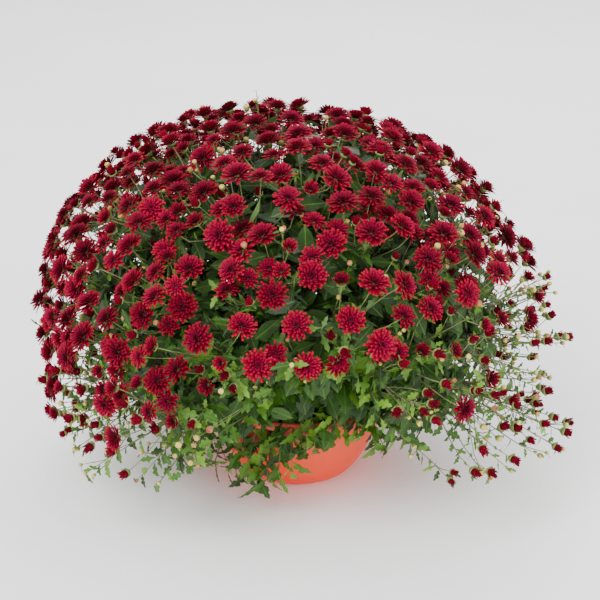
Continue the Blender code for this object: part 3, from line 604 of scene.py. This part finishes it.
def end_tree(tree, output, held, geometry, mark=None):
    """Marks each copy with a number that is held, makes the copies real, gives them their material and hands
    them on."""
    if mark:
        inputs = {"Geometry": geometry, "Name": mark, "Value": held[mark]}
        geometry = add_node(tree, "GeometryNodeStoreNamedAttribute", inputs, domain="INSTANCE")
    real = add_node(tree, "GeometryNodeRealizeInstances", (geometry,))
    coloured = add_node(tree, "GeometryNodeSetMaterial", {"Geometry": real, "Material": held["Material"]})
    tree.links.new(coloured.outputs[0], output.inputs[0])
    return tree


def bloom_tree():
    """Ray petals set on a spiral: the outer ones lie open, the inner ones stand and close over the heart."""
    tree, output, held = new_tree("petals on a spiral", {
        "Petal": ("Object", None), "Petals": ("Int", FULL_PETALS), "Outer tilt": ("Float", 0.0),
        "Inner tilt": ("Float", 1.4), "Inner size": ("Float", 0.4), "Foot radius": ("Float", 0.16),
        "Foot height": ("Float", 0.18), "Seed": ("Int", 1), "Material": ("Material", None),
    }, (("turned by", -0.16, 0.16, 0), ("tilted by", -0.10, 0.10, 7), ("sized by", 0.9, 1.05, 13)))
    work_out(tree, held, "ShaderNodeMath", ("last", "SUBTRACT", "Petals", 1.0), ("layer", "DIVIDE", "index", "last"))
    for label, low, high, power in (
        ("lean", "Outer tilt", "Inner tilt", 1.15), ("length", 1.0, "Inner size", 1.5),
        ("foot", "Foot radius", 0.02, 1.0), ("rise", 0.0, "Foot height", 1.0),
    ):
        share = add_node(tree, "ShaderNodeMath", (held["layer"], power), operation="POWER")
        held[label] = add_node(tree, "ShaderNodeMapRange", (share, 0, 1, held.get(low, low), held.get(high, high)))
    work_out(
        tree, held, "ShaderNodeMath",
        ("spiral", "MULTIPLY", "index", GOLDEN_ANGLE), ("turn", "ADD", "spiral", "turned by"),
        ("tilt", "ADD", "lean", "tilted by"), ("size", "MULTIPLY", "length", "sized by"),
        ("cosine", "COSINE", "turn"), ("sine", "SINE", "turn"), ("flat", "COSINE", "tilt"), ("steep", "SINE", "tilt"),
        ("inward", "MULTIPLY", "steep", -1.0), ("foot x", "MULTIPLY", "cosine", "foot"),
        ("foot y", "MULTIPLY", "sine", "foot"), ("out x", "MULTIPLY", "cosine", "flat"),
        ("out y", "MULTIPLY", "sine", "flat"), ("up x", "MULTIPLY", "cosine", "inward"),
        ("up y", "MULTIPLY", "sine", "inward"),
    )
    place, out, upper = (
        add_node(tree, "ShaderNodeCombineXYZ", [held[label] for label in labels])
        for labels in (("foot x", "foot y", "rise"), ("out x", "out y", "steep"), ("up x", "up y", "flat"))
    )
    points = add_node(tree, "GeometryNodePoints", {"Count": held["Petals"], "Position": place})
    turned = add_node(
        tree, "FunctionNodeAxesToRotation", {"Primary Axis": out, "Secondary Axis": upper},
        primary_axis="Y", secondary_axis="Z",
    )
    petal = add_node(tree, "GeometryNodeObjectInfo", {"Object": held["Petal"]}).outputs["Geometry"]
    copies = add_node(tree, "GeometryNodeInstanceOnPoints", {
        "Points": points, "Instance": petal, "Rotation": turned, "Scale": held["size"],
    })
    return end_tree(tree, output, held, copies, "layer")


def scatter_tree():
    """One pattern copied to every point, turned and sized by the point's own numbers."""
    tree, output, held = new_tree("copies on points", {
        "Pattern": ("Object", None), "Size factor": ("Float", 1.0), "Material": ("Material", None),
    })
    turn, size = (
        add_node(tree, "GeometryNodeInputNamedAttribute", {"Name": name}, data_type=kind)
        for name, kind in (("turn", "FLOAT_VECTOR"), ("size", "FLOAT"))
    )
    copies = add_node(tree, "GeometryNodeInstanceOnPoints", {
        "Points": held["Geometry"],
        "Instance": add_node(tree, "GeometryNodeObjectInfo", {"Object": held["Pattern"]}).outputs["Geometry"],
        "Rotation": add_node(tree, "FunctionNodeEulerToRotation", (turn,)),
        "Scale": add_node(tree, "ShaderNodeMath", (size, held["Size factor"]), operation="MULTIPLY"),
    })
    return end_tree(tree, output, held, copies)


def stem_tree():
    """Round stems along chains of edges, as thick as each point says, with closed ends."""
    tree, output, held = new_tree("stems along paths", {"Sides": ("Int", 5), "Material": ("Material", None)})
    circle = add_node(tree, "GeometryNodeCurvePrimitiveCircle", {"Resolution": held["Sides"], "Radius": 1.0})
    tube = add_node(tree, "GeometryNodeCurveToMesh", {
        "Curve": add_node(tree, "GeometryNodeMeshToCurve", (held["Geometry"],)), "Profile Curve": circle,
        "Scale": add_node(tree, "GeometryNodeInputNamedAttribute", {"Name": "thick"}, data_type="FLOAT"),
        "Fill Caps": True,
    })
    return end_tree(tree, output, held, tube)


def leafy_tree():
    """Leaves in a spiral up each stem, spreading from it, with their faces to the light."""
    tree, output, held = new_tree("leaves up the stems", {
        "Leaf one": ("Object", None), "Leaf two": ("Object", None), "Leaf three": ("Object", None),
        "Spacing": ("Float", SIDE_LEAF_SPACING), "First leaf": ("Float", 0.2), "Least length": ("Float", 0.026),
        "Greatest length": ("Float", 0.044), "Hang": ("Float", 0.2), "Seed": ("Int", 1), "Material": ("Material", None),
    }, (
        ("turned by", -0.5, 0.5, 0), ("spread", 0.1, 0.85, 5), ("hangs by", 0.3, 1.6, 9), ("faces by", -0.35, 0.2, 21),
        ("length", "Least length", "Greatest length", 33), ("shade", 0.0, 1.0, 57),
    ))
    curve = add_node(tree, "GeometryNodeMeshToCurve", (held["Geometry"],))
    part = add_node(tree, "GeometryNodeTrimCurve", {"Curve": curve, "Start": held["First leaf"]})
    knots = add_node(tree, "GeometryNodeResampleCurve", {"Curve": part, "Length": held["Spacing"]}, mode="LENGTH")
    held["tangent"] = add_node(tree, "GeometryNodeInputTangent")
    held["vigour"] = add_node(tree, "GeometryNodeInputNamedAttribute", {"Name": "vigour"}, data_type="FLOAT")
    work_out(
        tree, held, "ShaderNodeMath",
        ("spiral", "MULTIPLY", "index", GOLDEN_ANGLE), ("turn", "ADD", "spiral", "turned by"),
        ("cosine", "COSINE", "turn"), ("sine", "SINE", "turn"), ("flat", "COSINE", "spread"),
        ("steep", "SINE", "spread"), ("hang", "MULTIPLY", "Hang", "hangs by"), ("size", "MULTIPLY", "length", "vigour"),
        ("pick seed", "ADD", "Seed", 41),
    )
    held["down"] = add_node(tree, "ShaderNodeCombineXYZ", (0, 0, held["hang"]))
    work_out(
        tree, held, "ShaderNodeVectorMath",
        ("across", "CROSS_PRODUCT", "tangent", (0.37, 0.21, 0.9)), ("side", "NORMALIZE", "across"),
        ("other", "CROSS_PRODUCT", "tangent", "side"), ("side part", "MULTIPLY", "side", "cosine"),
        ("other part", "MULTIPLY", "other", "sine"), ("radial", "ADD", "side part", "other part"),
        ("aside", "MULTIPLY", "radial", "flat"), ("ahead", "MULTIPLY", "tangent", "steep"),
        ("aimed", "ADD", "aside", "ahead"), ("hung", "SUBTRACT", "aimed", "down"), ("along", "NORMALIZE", "hung"),
        ("sky", "ADD", "tangent", (0, 0, 0.6)), ("lean", "MULTIPLY", "radial", "faces by"),
        ("light", "ADD", "sky", "lean"),
    )
    turned = add_node(
        tree, "FunctionNodeAxesToRotation", {"Primary Axis": held["along"], "Secondary Axis": held["light"]},
        primary_axis="Y", secondary_axis="Z",
    )
    leaves = add_node(tree, "GeometryNodeJoinGeometry")
    for label in ("Leaf three", "Leaf two", "Leaf one"):
        leaf = add_node(tree, "GeometryNodeObjectInfo", {"Object": held[label]}).outputs["Geometry"]
        one = add_node(tree, "GeometryNodeGeometryToInstance", (leaf,))
        tree.links.new(one.outputs[0], leaves.inputs[0])
    pick = add_node(tree, "FunctionNodeRandomValue", {4: 0, 5: 2, "Seed": held["pick seed"]}, data_type="INT")
    copies = add_node(tree, "GeometryNodeInstanceOnPoints", {
        "Points": knots, "Instance": leaves, "Pick Instance": True, "Instance Index": pick, "Rotation": turned,
        "Scale": held["size"],
    })
    return end_tree(tree, output, held, copies, "shade")


def grown(name, carrier, tree, settings):
    """Runs a tree on a carrier object and keeps the result as a plain mesh at the origin."""
    modifier = carrier.modifiers.new("Grow", "NODES")
    modifier.node_group = tree
    for item in tree.interface.items_tree:
        if item.in_out == "INPUT" and item.name in settings:
            modifier[item.identifier] = settings[item.name]
    graph = bpy.context.evaluated_depsgraph_get()
    mesh = bpy.data.meshes.new_from_object(carrier.evaluated_get(graph))
    carrier.modifiers.remove(modifier)
    bpy.data.objects.remove(carrier)
    mesh.name = name
    return put_in_scene(name, mesh)


def smooth(obj):
    for polygon in obj.data.polygons:
        polygon.use_smooth = True
    return obj


# Paths of stems

def bend_path(start, start_way, end, end_way, steps):
    """Points along a smooth bend that leaves and arrives in the given directions."""
    reach = (end - start).length / 3
    a, b, c, d = start, start + start_way * reach, end - end_way * reach, end
    path = []
    for step in range(steps + 1):
        t = step / steps
        path.append(a * (1 - t) ** 3 + b * 3 * t * (1 - t) ** 2 + c * 3 * t * t * (1 - t) + d * t**3)
    return path


def paths_object(paths):
    """Chains of edges from (points, thickness, age, vigour), the last three each given for both ends."""
    verts, edges = [], []
    values = {"thick": [], "age": [], "vigour": []}
    for points, *ends in paths:
        start = len(verts)
        for k, point in enumerate(points):
            share = k / (len(points) - 1)
            verts.append(point)
            for label, (first, last) in zip(values, ends):
                values[label].append(first + (last - first) * share)
        edges += [(k, k + 1) for k in range(start, len(verts) - 1)]
    return new_object("carrier", verts, [], None, edges, values)


def scattered(name, places, tree, pattern, factor, material):
    """A pattern copied to every (place, facing, spin, size, shade)."""
    values = {"turn": [], "size": [], "shade": []}
    for _, facing, spin, size, shade in places:
        rotation = facing.to_track_quat("Z", "Y") @ Euler((0, 0, spin)).to_quaternion()
        for label, value in zip(values, (tuple(rotation.to_euler("XYZ")), size, shade)):
            values[label].append(value)
    carrier = new_object("carrier", [item[0] for item in places], [], values=values)
    return grown(name, carrier, tree, {"Pattern": pattern, "Size factor": factor, "Material": material})


def plan_stems(shoots, heads, rng):
    """The paths of the main stems and the flower stalks."""
    mains, stalks = [], []
    for shoot in shoots:
        direction, reach = shoot["direction"], shoot["reach"]
        points = [CROWN + direction * 6 * MM]
        points += [along_shoot(direction, reach * share / 8 * HUB_SHARE) for share in range(1, 9)]
        mains.append((points, *MAIN_STEM))
    for head in heads:
        direction, reach = shoots[head["owner"]]["direction"], shoots[head["owner"]]["reach"]
        root = along_shoot(direction, reach * rng.uniform(0.58, 0.82))
        base = head["place"] - head["facing"] * 0.35 * head["radius"]
        points = bend_path(root, direction, base, head["facing"], 5)
        thick = BUD_STALK_THICKNESS if "bud" in head["kind"] else BLOOM_STALK_THICKNESS
        stalks.append((points, (1.1 * thick, thick), *STALK))
    return mains, stalks


def stands_clear(point, blooms):
    """Whether a shoot's end keeps its leaves out of the open blooms."""
    return all((point - b["place"]).length > b["radius"] + LEAF_ROOM for b in blooms)


def lowest_at(point):
    """How low a shoot may hang at that point: in front it stays above the bowl."""
    return LOWEST_TIP + FRONT_RISE * max(0, -point.y - FRONT_START)


def plan_side_shoots(shoots, heads, rng):
    """The leafy side shoots, their bare twigs and the buds they end in. Low down they hang, to the right
    they are long and thin."""
    sides, twigs, buds = [], [], []
    blooms = [head for head in heads if "bud" not in head["kind"]]
    for index in range(SIDE_SHOOTS):
        spot = cap_direction(index, SIDE_SHOOTS, LOWEST_SIDE_SHOOT)
        spot = (spot + drift(rng, 0.03, 0.03)).normalized()
        shoot = shoots[owner_of(spot, shoots)]
        root = along_shoot(shoot["direction"], shoot["reach"] * rng.uniform(0.30, 0.5))
        low = 1 - smooth_step(-0.1, 0.5, spot.z)
        thin = smooth_step(0.15, 0.75, spot.x) * (1 - smooth_step(0.35, 0.75, spot.z))
        thin = max(thin, 0.7 * smooth_step(0.25, 0.8, -spot.x) * (1 - smooth_step(0.05, 0.4, spot.z)))
        hang = HANG * rng.uniform(0.3, 1.2) * (1 - smooth_step(0.0, 0.3, spot.z)) * (1 - parting(spot))
        crown = smooth_step(0.6, 0.85, spot.z)
        depth = rng.uniform(0.87, 1.0) + (0.14 * thin + 0.07 * crown) * rng.random()
        for shorter in SHORTER_TRIES:
            tip = along_shoot(spot, dome_reach(spot) * depth * shorter) - Vector((0, 0, hang))
            if stands_clear(tip, blooms):
                break
        tip.x = max(FARTHEST_LEFT, min(tip.x, FARTHEST_RIGHT))
        tip.z = max(tip.z, lowest_at(tip))
        way = (spot + Vector((0, 0, 0.25 - 0.5 * low))).normalized()
        points = bend_path(root, shoot["direction"], tip, way, 7)
        vigour = (1.0 + 0.15 * low - 0.1 * thin, 0.75 - 0.4 * thin - 0.5 * crown)
        sides.append((points, *SIDE_STEM, vigour))
        budding = 0.35 + 0.35 * low + 0.35 * thin + 0.25 * crown
        if rng.random() < budding:
            buds.append((tip, way, rng.random(), thin))
        for step in (4, 5, 6):
            if rng.random() > 0.7 * budding:
                continue
            turn = (spot + drift(rng, 0.5, 0.4, 0.25)).normalized()
            end = points[step] + turn * rng.uniform(*TWIG_LENGTHS) * MM
            if end.z > lowest_at(end) and FARTHEST_LEFT < end.x < FARTHEST_RIGHT and stands_clear(end, blooms):
                twigs.append((bend_path(points[step], way, end, turn, 4), *TWIG))
                buds.append((end, turn, rng.random(), thin))
    return sides, twigs, buds


def plan_collar(rng):
    """Short leafy shoots that arch over the bowl's rim and hang all round it, least in front."""
    collar = []
    for k in range(COLLAR_SHOOTS):
        turn = math.tau * (k + rng.uniform(-0.2, 0.2)) / COLLAR_SHOOTS
        offset = (turn - COLLAR_MIDDLE + math.pi) % math.tau - math.pi
        window, drape = (math.exp(-(((offset - middle) / COLLAR_WINDOW) ** 4)) for middle in (0, COLLAR_DRAPE))
        out = Vector((math.cos(turn), math.sin(turn), 0))
        right = smooth_step(0.1, 0.5, out.x) * (out.y < 0)
        reach = BOWL_RIM_RADIUS + (36 - 26 * window - 14 * drape) * MM + rng.uniform(-6, 8) * MM
        height = 64 + 30 * window - 20 * drape + 16 * right + rng.uniform(-8, 10)
        tip = out * reach + Vector((0, 0, height * MM))
        root = CROWN + out * 26 * MM + Vector((0, 0, 4 * MM))
        way = (out * 0.5 - Vector((0, 0, 1))).normalized()
        points = bend_path(root, (out + Vector((0, 0, 0.5))).normalized(), tip, way, 7)
        collar.append((points, *COLLAR_STEM))
    return collar


def plan_buds(heads, ends, rng):
    """The planned red buds, then the opening and the cream ones, those on the ends of shoots among them."""
    reds = [(h["place"], h["facing"], 0.0, h["radius"], 0.1) for h in heads if h["kind"] == "red_bud"]
    creams = [
        (h["place"], h["facing"], rng.uniform(*SPINS), h["radius"], rng.random())
        for h in heads if h["kind"] == "pale_bud"
    ]
    tips = []
    for tip, way, roll, thin in ends:
        if roll < OPENING_SHARE + 0.2 * thin:
            tips.append((tip, way, rng.uniform(*SPINS), rng.uniform(*OPENING_SIZES) * MM, rng.uniform(0, 0.25)))
        else:
            creams.append((tip, way, rng.uniform(*SPINS), rng.uniform(*CREAM_SIZES) * MM, rng.random()))
    return reds, tips, creams


def plan_cups(heads, tips, creams, rng):
    """The cup of bracts under each bloom and bud."""
    cups = [
        (h["place"], h["facing"], rng.uniform(*SPINS), h["radius"] * CUP_SIZES[h["kind"]], rng.random())
        for h in heads if h["kind"] in CUP_SIZES
    ]
    for kind, buds in (("opening", tips), ("cream", creams)):
        cups += [(place, way, 0.0, CUP_SIZES[kind] * size, shade) for place, way, _, size, shade in buds]
    return cups


def plan_shade_leaves(rng):
    """Leaves that fill the inside of the plant, so that it looks dense and dark between the blooms. They take only
    the darker half of the leaf greens, as painted shade.
    """
    places = []
    for k in range(SHADE_LEAVES):
        spot = cap_direction(k, SHADE_LEAVES, LOWEST_SIDE_SHOOT)
        high = max(0, spot.z)
        depth = rng.uniform(0.52, 0.75 + 0.19 * high) - 0.12 * (1 - smooth_step(-0.1, 0.25, spot.z))
        facing = (spot + drift(rng, 0.4, 0.4)).normalized()
        size = rng.uniform(*SHADE_LEAF_SIZES) * (1 + 0.12 * high) * MM
        place = along_shoot(spot, dome_reach(spot) * depth)
        # Painted shade: these inner leaves take only the darker half of the leaf greens, shade 0 to 0.5
        places.append((place, facing, rng.uniform(*SPINS), size, rng.uniform(0, 0.5)))
    return places


# The pieces

def bowl_radius(height):
    """The outside of the bowl's flared wall at that height."""
    share = max(0.0, height) / BOWL_HEIGHT
    return BOWL_BASE_RADIUS + (BOWL_RIM_RADIUS - RIM_ROLL - BOWL_BASE_RADIUS) * share**BOWL_FLARE


def make_bowl(material):
    """The nursery bowl, turned round its axis, with its rolled rim, its foot ring and its drain holes."""
    steps = 22
    rim_low = BOWL_HEIGHT - RIM_DEPTH
    heights = [rim_low * (k / steps) ** 1.5 for k in range(1, steps + 1)]
    wall = [(BOWL_BASE_RADIUS - 6 * MM, 0.0), (BOWL_BASE_RADIUS - 1.5 * MM, 0.0), (BOWL_BASE_RADIUS, 1.2 * MM)]
    wall += [(bowl_radius(h), h) for h in heights if h > 1.5 * MM]
    rim = [
        (BOWL_RIM_RADIUS - 0.8 * MM, rim_low), (BOWL_RIM_RADIUS, rim_low + 0.8 * MM),
        (BOWL_RIM_RADIUS, BOWL_HEIGHT - 2.4 * MM), (BOWL_RIM_RADIUS - 0.8 * MM, BOWL_HEIGHT - 0.8 * MM),
        (BOWL_RIM_RADIUS - 2.4 * MM, BOWL_HEIGHT), (BOWL_RIM_RADIUS - 4.4 * MM, BOWL_HEIGHT - 0.3 * MM),
        (bowl_radius(BOWL_HEIGHT) - BOWL_WALL, BOWL_HEIGHT - 1.5 * MM),
    ]
    inside = [(bowl_radius(h) - BOWL_WALL, h) for h in reversed(heights) if h > BOWL_FLOOR + 2 * MM]
    inside += [(BOWL_BASE_RADIUS - BOWL_WALL - 2 * MM, BOWL_FLOOR), (0, BOWL_FLOOR)]
    profile = [(0, 0.8 * MM, 0), (BOWL_BASE_RADIUS - 8 * MM, 0.8 * MM, 0)]
    profile += [(r, h, 0) for r, h in wall + rim + inside]
    bowl = lathe("bowl_shell", profile, 80, None, material)
    cutters = []
    for k in range(DRAIN_HOLES):
        turn = math.tau * (k + 0.5) / DRAIN_HOLES
        bm = bmesh.new()
        place = Matrix.Translation((DRAIN_CIRCLE * math.cos(turn), DRAIN_CIRCLE * math.sin(turn), 0))
        bmesh.ops.create_cone(
            bm, cap_ends=True, segments=20, radius1=DRAIN_RADIUS, radius2=DRAIN_RADIUS, depth=12 * MM, matrix=place,
        )
        mesh = bpy.data.meshes.new("drain")
        bm.to_mesh(mesh)
        bm.free()
        cutters.append(put_in_scene("drain", mesh))
        cut = bowl.modifiers.new("Drain", "BOOLEAN")
        cut.operation, cut.solver, cut.object = "DIFFERENCE", "MANIFOLD", cutters[-1]
    graph = bpy.context.evaluated_depsgraph_get()
    mesh = bpy.data.meshes.new_from_object(bowl.evaluated_get(graph))
    bowl.modifiers.clear()
    bowl.data = mesh
    for cutter in cutters:
        bpy.data.objects.remove(cutter)
    mesh.set_sharp_from_angle(angle=math.radians(40))
    return smooth(bowl)


def make_soil(material):
    """Crumbly peat that fills the bowl up to just under its rim."""
    rng = random.Random(SOIL_SEED)
    gap, crown, rings = 0.8 * MM, 3 * MM, 22
    floor = BOWL_FLOOR + 0.3 * MM
    edge = SOIL_TOP - crown
    heights = [floor + (edge - floor) * k / 6 for k in range(7)]
    wall = [bowl_radius(h) - BOWL_WALL - gap for h in heights]
    profile = [(0, floor, 0), (wall[0] - 2 * MM, floor, 0), *((r, h, 0) for r, h in zip(wall[1:], heights[1:]))]
    for k in range(rings, -1, -1):
        share = k / (rings + 1)
        profile.append((wall[-1] * share, edge + crown * (1 - share**4), 1))
    soil = lathe("peat_filling", profile, 72, None, material)
    for vertex in soil.data.vertices:
        if vertex.co.z > edge + 0.1 * MM:
            vertex.co.z += rng.uniform(-1.4, 1.6) * MM
            vertex.co.x += rng.uniform(-0.8, 0.8) * MM
            vertex.co.y += rng.uniform(-0.8, 0.8) * MM
    return soil


def make_trunk(material):
    """The short woody base of the plant, knotty and fluted, that splits into the main stems."""
    rng = random.Random(TRUNK_SEED)
    rows, sides = 14, 24
    profile = [(0, TRUNK_FOOT, 0)]
    for k in range(rows + 1):
        share = k / rows
        radius = TRUNK_RADIUS * (0.98 - 0.22 * math.sin(share * 2.6) + 0.12 * max(0, share - 0.8) * 5)
        profile.append((radius * 0.96, TRUNK_FOOT + (CROWN.z - TRUNK_FOOT) * share, share))
    profile.append((0, CROWN.z + 3 * MM, 1))
    lumps = [rng.uniform(0.9, 1.06) for _ in range(sides)]
    return smooth(lathe("woody_base", profile, sides, lambda k, share: lumps[(k + int(share * 5)) % sides], material))


def make_patterns(crimson):
    """The blooms that are copied, full, crowded, young and just opening ones, and the petals they are made of."""
    petals = broad, curved, short = [make_petal(*sizes) for sizes in (
        ("broad_petal", 0.26, 0.06, 0.03, 0.05), ("curved_petal", 0.25, 0.06, -0.05, 0.06),
        ("short_petal", 0.30, 0.05, 0.05, 0.05),
    )]
    tree = bloom_tree()
    labels = ("Petal", "Petals", "Outer tilt", "Inner tilt", "Inner size", "Foot radius", "Foot height", "Seed")
    patterns = {}
    for kind, *values in (
        ("full_a", broad, FULL_PETALS, 0.02, 1.62, 0.34, 0.12, 0.24, 3),
        ("full_b", curved, FULL_PETALS, -0.04, 1.64, 0.32, 0.12, 0.26, 4),
        ("full_c", broad, FULL_PETALS, 0.18, 1.66, 0.36, 0.10, 0.20, 5),
        ("crowded", curved, CROWDED_PETALS, 0.05, 1.62, 0.36, 0.12, 0.22, 9),
        ("young_a", short, YOUNG_PETALS, 0.42, 1.62, 0.50, 0.12, 0.18, 6),
        ("young_b", short, YOUNG_PETALS, 0.66, 1.52, 0.62, 0.14, 0.16, 7),
        ("opening", short, BUD_PETALS, 1.02, 1.50, 0.84, 0.30, 0.12, 8),
    ):
        settings = {**dict(zip(labels, values)), "Material": crimson}
        patterns[kind] = grown("pattern_" + kind, new_object("carrier", [(0, 0, 0)], []), tree, settings)
    return patterns, petals


def join_up(name, parts, material):
    """One mesh from several, which are removed."""
    bm = bmesh.new()
    for part in parts:
        bm.from_mesh(part.data)
        bpy.data.objects.remove(part)
    mesh = bpy.data.meshes.new(name)
    bm.to_mesh(mesh)
    bm.free()
    mesh.materials.append(material)
    for polygon in mesh.polygons:
        polygon.material_index = 0
    return put_in_scene(name, mesh)


def add_piece(obj, slot, *nodes):
    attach(obj, "root")
    if nodes:
        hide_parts(*nodes)


def bloom_kind(head):
    """Which pattern shows this flower head: the size decides, so that the mix stays even."""
    roll = (head["radius"] * 1e6) % 1
    if head["kind"] == "full":
        return ("full_a", "full_b", "full_c")[int(roll * 3)]
    if head["kind"] == "young":
        return ("young_a", "young_b")[int(roll * 2)]
    return {"crowded": "crowded", "red_bud": "opening"}.get(head["kind"])


def add_blooms(shoots, heads, patterns, scatter, crimson, looks):
    """Blooms and red buds in four quarters of the dome, each for the sprays of its own quarter."""
    quarters = [[], [], [], []]
    for index, shoot in enumerate(shoots):
        turn = math.atan2(shoot["direction"].y, shoot["direction"].x) % math.tau
        quarters[int(turn / (math.pi / 2)) % 4].append(index)
    for number, members in enumerate(quarters):
        own = [head for head in heads if head["owner"] in members]
        parts = []
        for kind, pattern in patterns.items():
            growth = OPENING_GROWTH if kind == "opening" else 1.0
            places = [
                (head["place"], head["facing"], looks.uniform(*SPINS), head["radius"] * growth, looks.random())
                for head in own if bloom_kind(head) == kind
            ]
            if places:
                parts.append(scattered("part", places, scatter, pattern, BLOOM_GROWTH, crimson))
        planned = sorted({head["owner"] for head in own if head["kind"] in ("full", "young", "red_bud")})
        blooms = join_up(f"crimson_blooms_{number + 1}", parts, crimson)
        add_piece(blooms, "petal_red", *(f"flower_spray_{k + 1:02d}" for k in planned))


def main():
    shoots = plan_shoots()
    heads = plan_heads(shoots, random.Random(SEED))
    looks = random.Random(LOOKS_SEED)
    heads += plan_crowding(shoots, heads, looks)
    mains, stalks = plan_stems(shoots, heads, looks)
    sides, twigs, ends = plan_side_shoots(shoots, heads, looks)
    collar = plan_collar(looks)

    crimson, green = petal_material(), leaf_material()
    patterns, petals = make_patterns(crimson)
    scatter, stems, leafy = scatter_tree(), stem_tree(), leafy_tree()
    calyx, pale, heart = make_turned_patterns()
    add_blooms(shoots, heads, patterns, scatter, crimson, looks)

    reds, tips, creams = plan_buds(heads, ends, looks)
    wide = [(tip, way, spin, OPENING_GROWTH * size, shade) for tip, way, spin, size, shade in tips]
    opening = scattered("part", wide, scatter, patterns["opening"], 1.0, crimson)
    hearts = scattered("part", reds + tips, scatter, heart, HEART_GROWTH, crimson)
    add_piece(join_up("opening_red_buds", [opening, hearts], crimson), "petal_red")
    cream = pale_bud_material()
    add_piece(smooth(scattered("cream_buds", creams, scatter, pale, CREAM_GROWTH, cream)), "petal_red")
    cups = plan_cups(heads, tips, creams, looks)
    add_piece(smooth(scattered("green_bracts", cups, scatter, calyx, 1.0, bract_material())), "leaf_green")
    all_stems = paths_object(mains + stalks + sides + twigs + collar)
    settings = {"Sides": 4, "Material": stem_material()}
    add_piece(smooth(grown("green_stems", all_stems, stems, settings)), "leaf_green")

    *shapes, plain = (make_leaf(*sizes) for sizes in (
        ("leaf_a", LEAF_OUTLINE, 0.58, 0.16, 0.20, 0.2), ("leaf_b", LEAF_OUTLINE, 0.48, 0.30, 0.34, -0.25),
        ("leaf_c", SMALL_LEAF_OUTLINE, 0.44, 0.05, 0.10, 0.3),
        ("small_leaf_a", SMALL_LEAF_OUTLINE, 0.38, 0.12, 0.25, 0.2),
        ("small_leaf_b", SMALL_LEAF_OUTLINE, 0.28, 0.25, 0.3, -0.2),
        ("small_leaf_c", SMALL_LEAF_OUTLINE, 0.42, 0.05, 0.15, 0.1),
        ("plain_leaf", PLAIN_LEAF_OUTLINE, 0.5, 0.1, 0.15, 0.1),
    ))
    large, small = shapes[:3], shapes[3:]
    labels = ("Spacing", "First leaf", "Least length", "Greatest length", "Hang", "Seed")

    def add_leaves(name, paths, three, values, *nodes):
        """Leaves up all the paths, as the values for the labels above say."""
        settings = dict(zip(("Leaf one", "Leaf two", "Leaf three", *labels), (*three, *values)))
        add_piece(grown(name, paths_object(paths), leafy, {**settings, "Material": green}), "leaf_green", *nodes)

    half = len(sides) // 2
    values = (SIDE_LEAF_SPACING, 0.25, 18 * MM, 32 * MM, 0.1, 11)
    add_leaves("upper_shoot_leaves", sides[:half], small, values, "leafy_stems")
    add_leaves("lower_shoot_leaves", sides[half:], large, (SIDE_LEAF_SPACING, 0.25, 18 * MM, 31 * MM, 0.4, 12))
    add_leaves("stem_leaves", mains, large, (MAIN_LEAF_SPACING, 0.42, 22 * MM, 34 * MM, 0.2, 13))
    add_leaves("stalk_leaves", stalks + twigs, small, (STALK_LEAF_SPACING, 0.1, 16 * MM, 30 * MM, 0.1, 14))
    inner = plan_shade_leaves(looks)
    add_piece(scattered("shaded_inner_leaves", inner, scatter, plain, 1.0, green), "leaf_green")
    add_leaves("collar_leaves", collar, large, (COLLAR_LEAF_SPACING, 0.3, 21 * MM, 34 * MM, 0.5, 15))

    add_piece(make_bowl(bowl_material()), "bowl_plastic", "bowl")
    add_piece(make_soil(peat_material()), "peat", "soil")
    add_piece(make_trunk(bark_material()), "woody_stem", "woody_trunk")
    for pattern in [*patterns.values(), *petals, *shapes, plain, calyx, pale, heart]:
        bpy.data.objects.remove(pattern)


def aimed(name, data, place, target):
    """A lamp or camera at that place, turned to the target."""
    holder = put_in_scene(name, data)
    holder.location = place
    holder.rotation_euler = (target - holder.location).to_track_quat("-Z", "Y").to_euler()
    return holder


def make_studio():
    """A pale floor, three soft lamps and the camera at the photo's angle."""
    # Matt white card, its tone a little uneven in patches 333 mm wide
    white, tree, grain = new_material("matt white studio floor", (), (1 / 3, 2, 0.55))
    tone = add_node(tree, "ShaderNodeValToRGB", (grain,), ((0.3, "#FAFAFA"), (0.7, "#FFFFFF")))
    end_material(white, tone, (), (0.85, 1.45, 0.2))
    corners = [(-6, -6, 0), (6, -6, 0), (6, 6, 0), (-6, 6, 0)]
    new_object("floor", corners, [(0, 1, 2, 3)], white)

    world = bpy.data.worlds.new("studio")
    world.use_nodes = True
    background = world.node_tree.nodes["Background"].inputs
    background["Color"].default_value = linear("#FFFFFF")
    background["Strength"].default_value = 1.5
    bpy.context.scene.world = world

    for name, place, size, power in (
        ("key", (-0.9, -1.5, 2.1), 1.0, 66), ("fill", (1.8, -1.4, 1.2), 1.6, 22), ("back", (0.4, 1.9, 1.9), 1.4, 40),
    ):
        lamp = bpy.data.lights.new(name, "AREA")
        lamp.energy, lamp.size = power, size
        aimed(name, lamp, place, Vector((0, 0, 0.2)))

    target, tilt, distance = Vector((0.003, 0, 0.205)), math.radians(23), 2.0
    camera = bpy.data.cameras.new("camera")
    camera.sensor_width, camera.lens = 36, 105.9
    place = target + distance * Vector((0, -math.cos(tilt), math.sin(tilt)))
    bpy.context.scene.camera = aimed("camera", camera, place, target)


main()
make_studio()
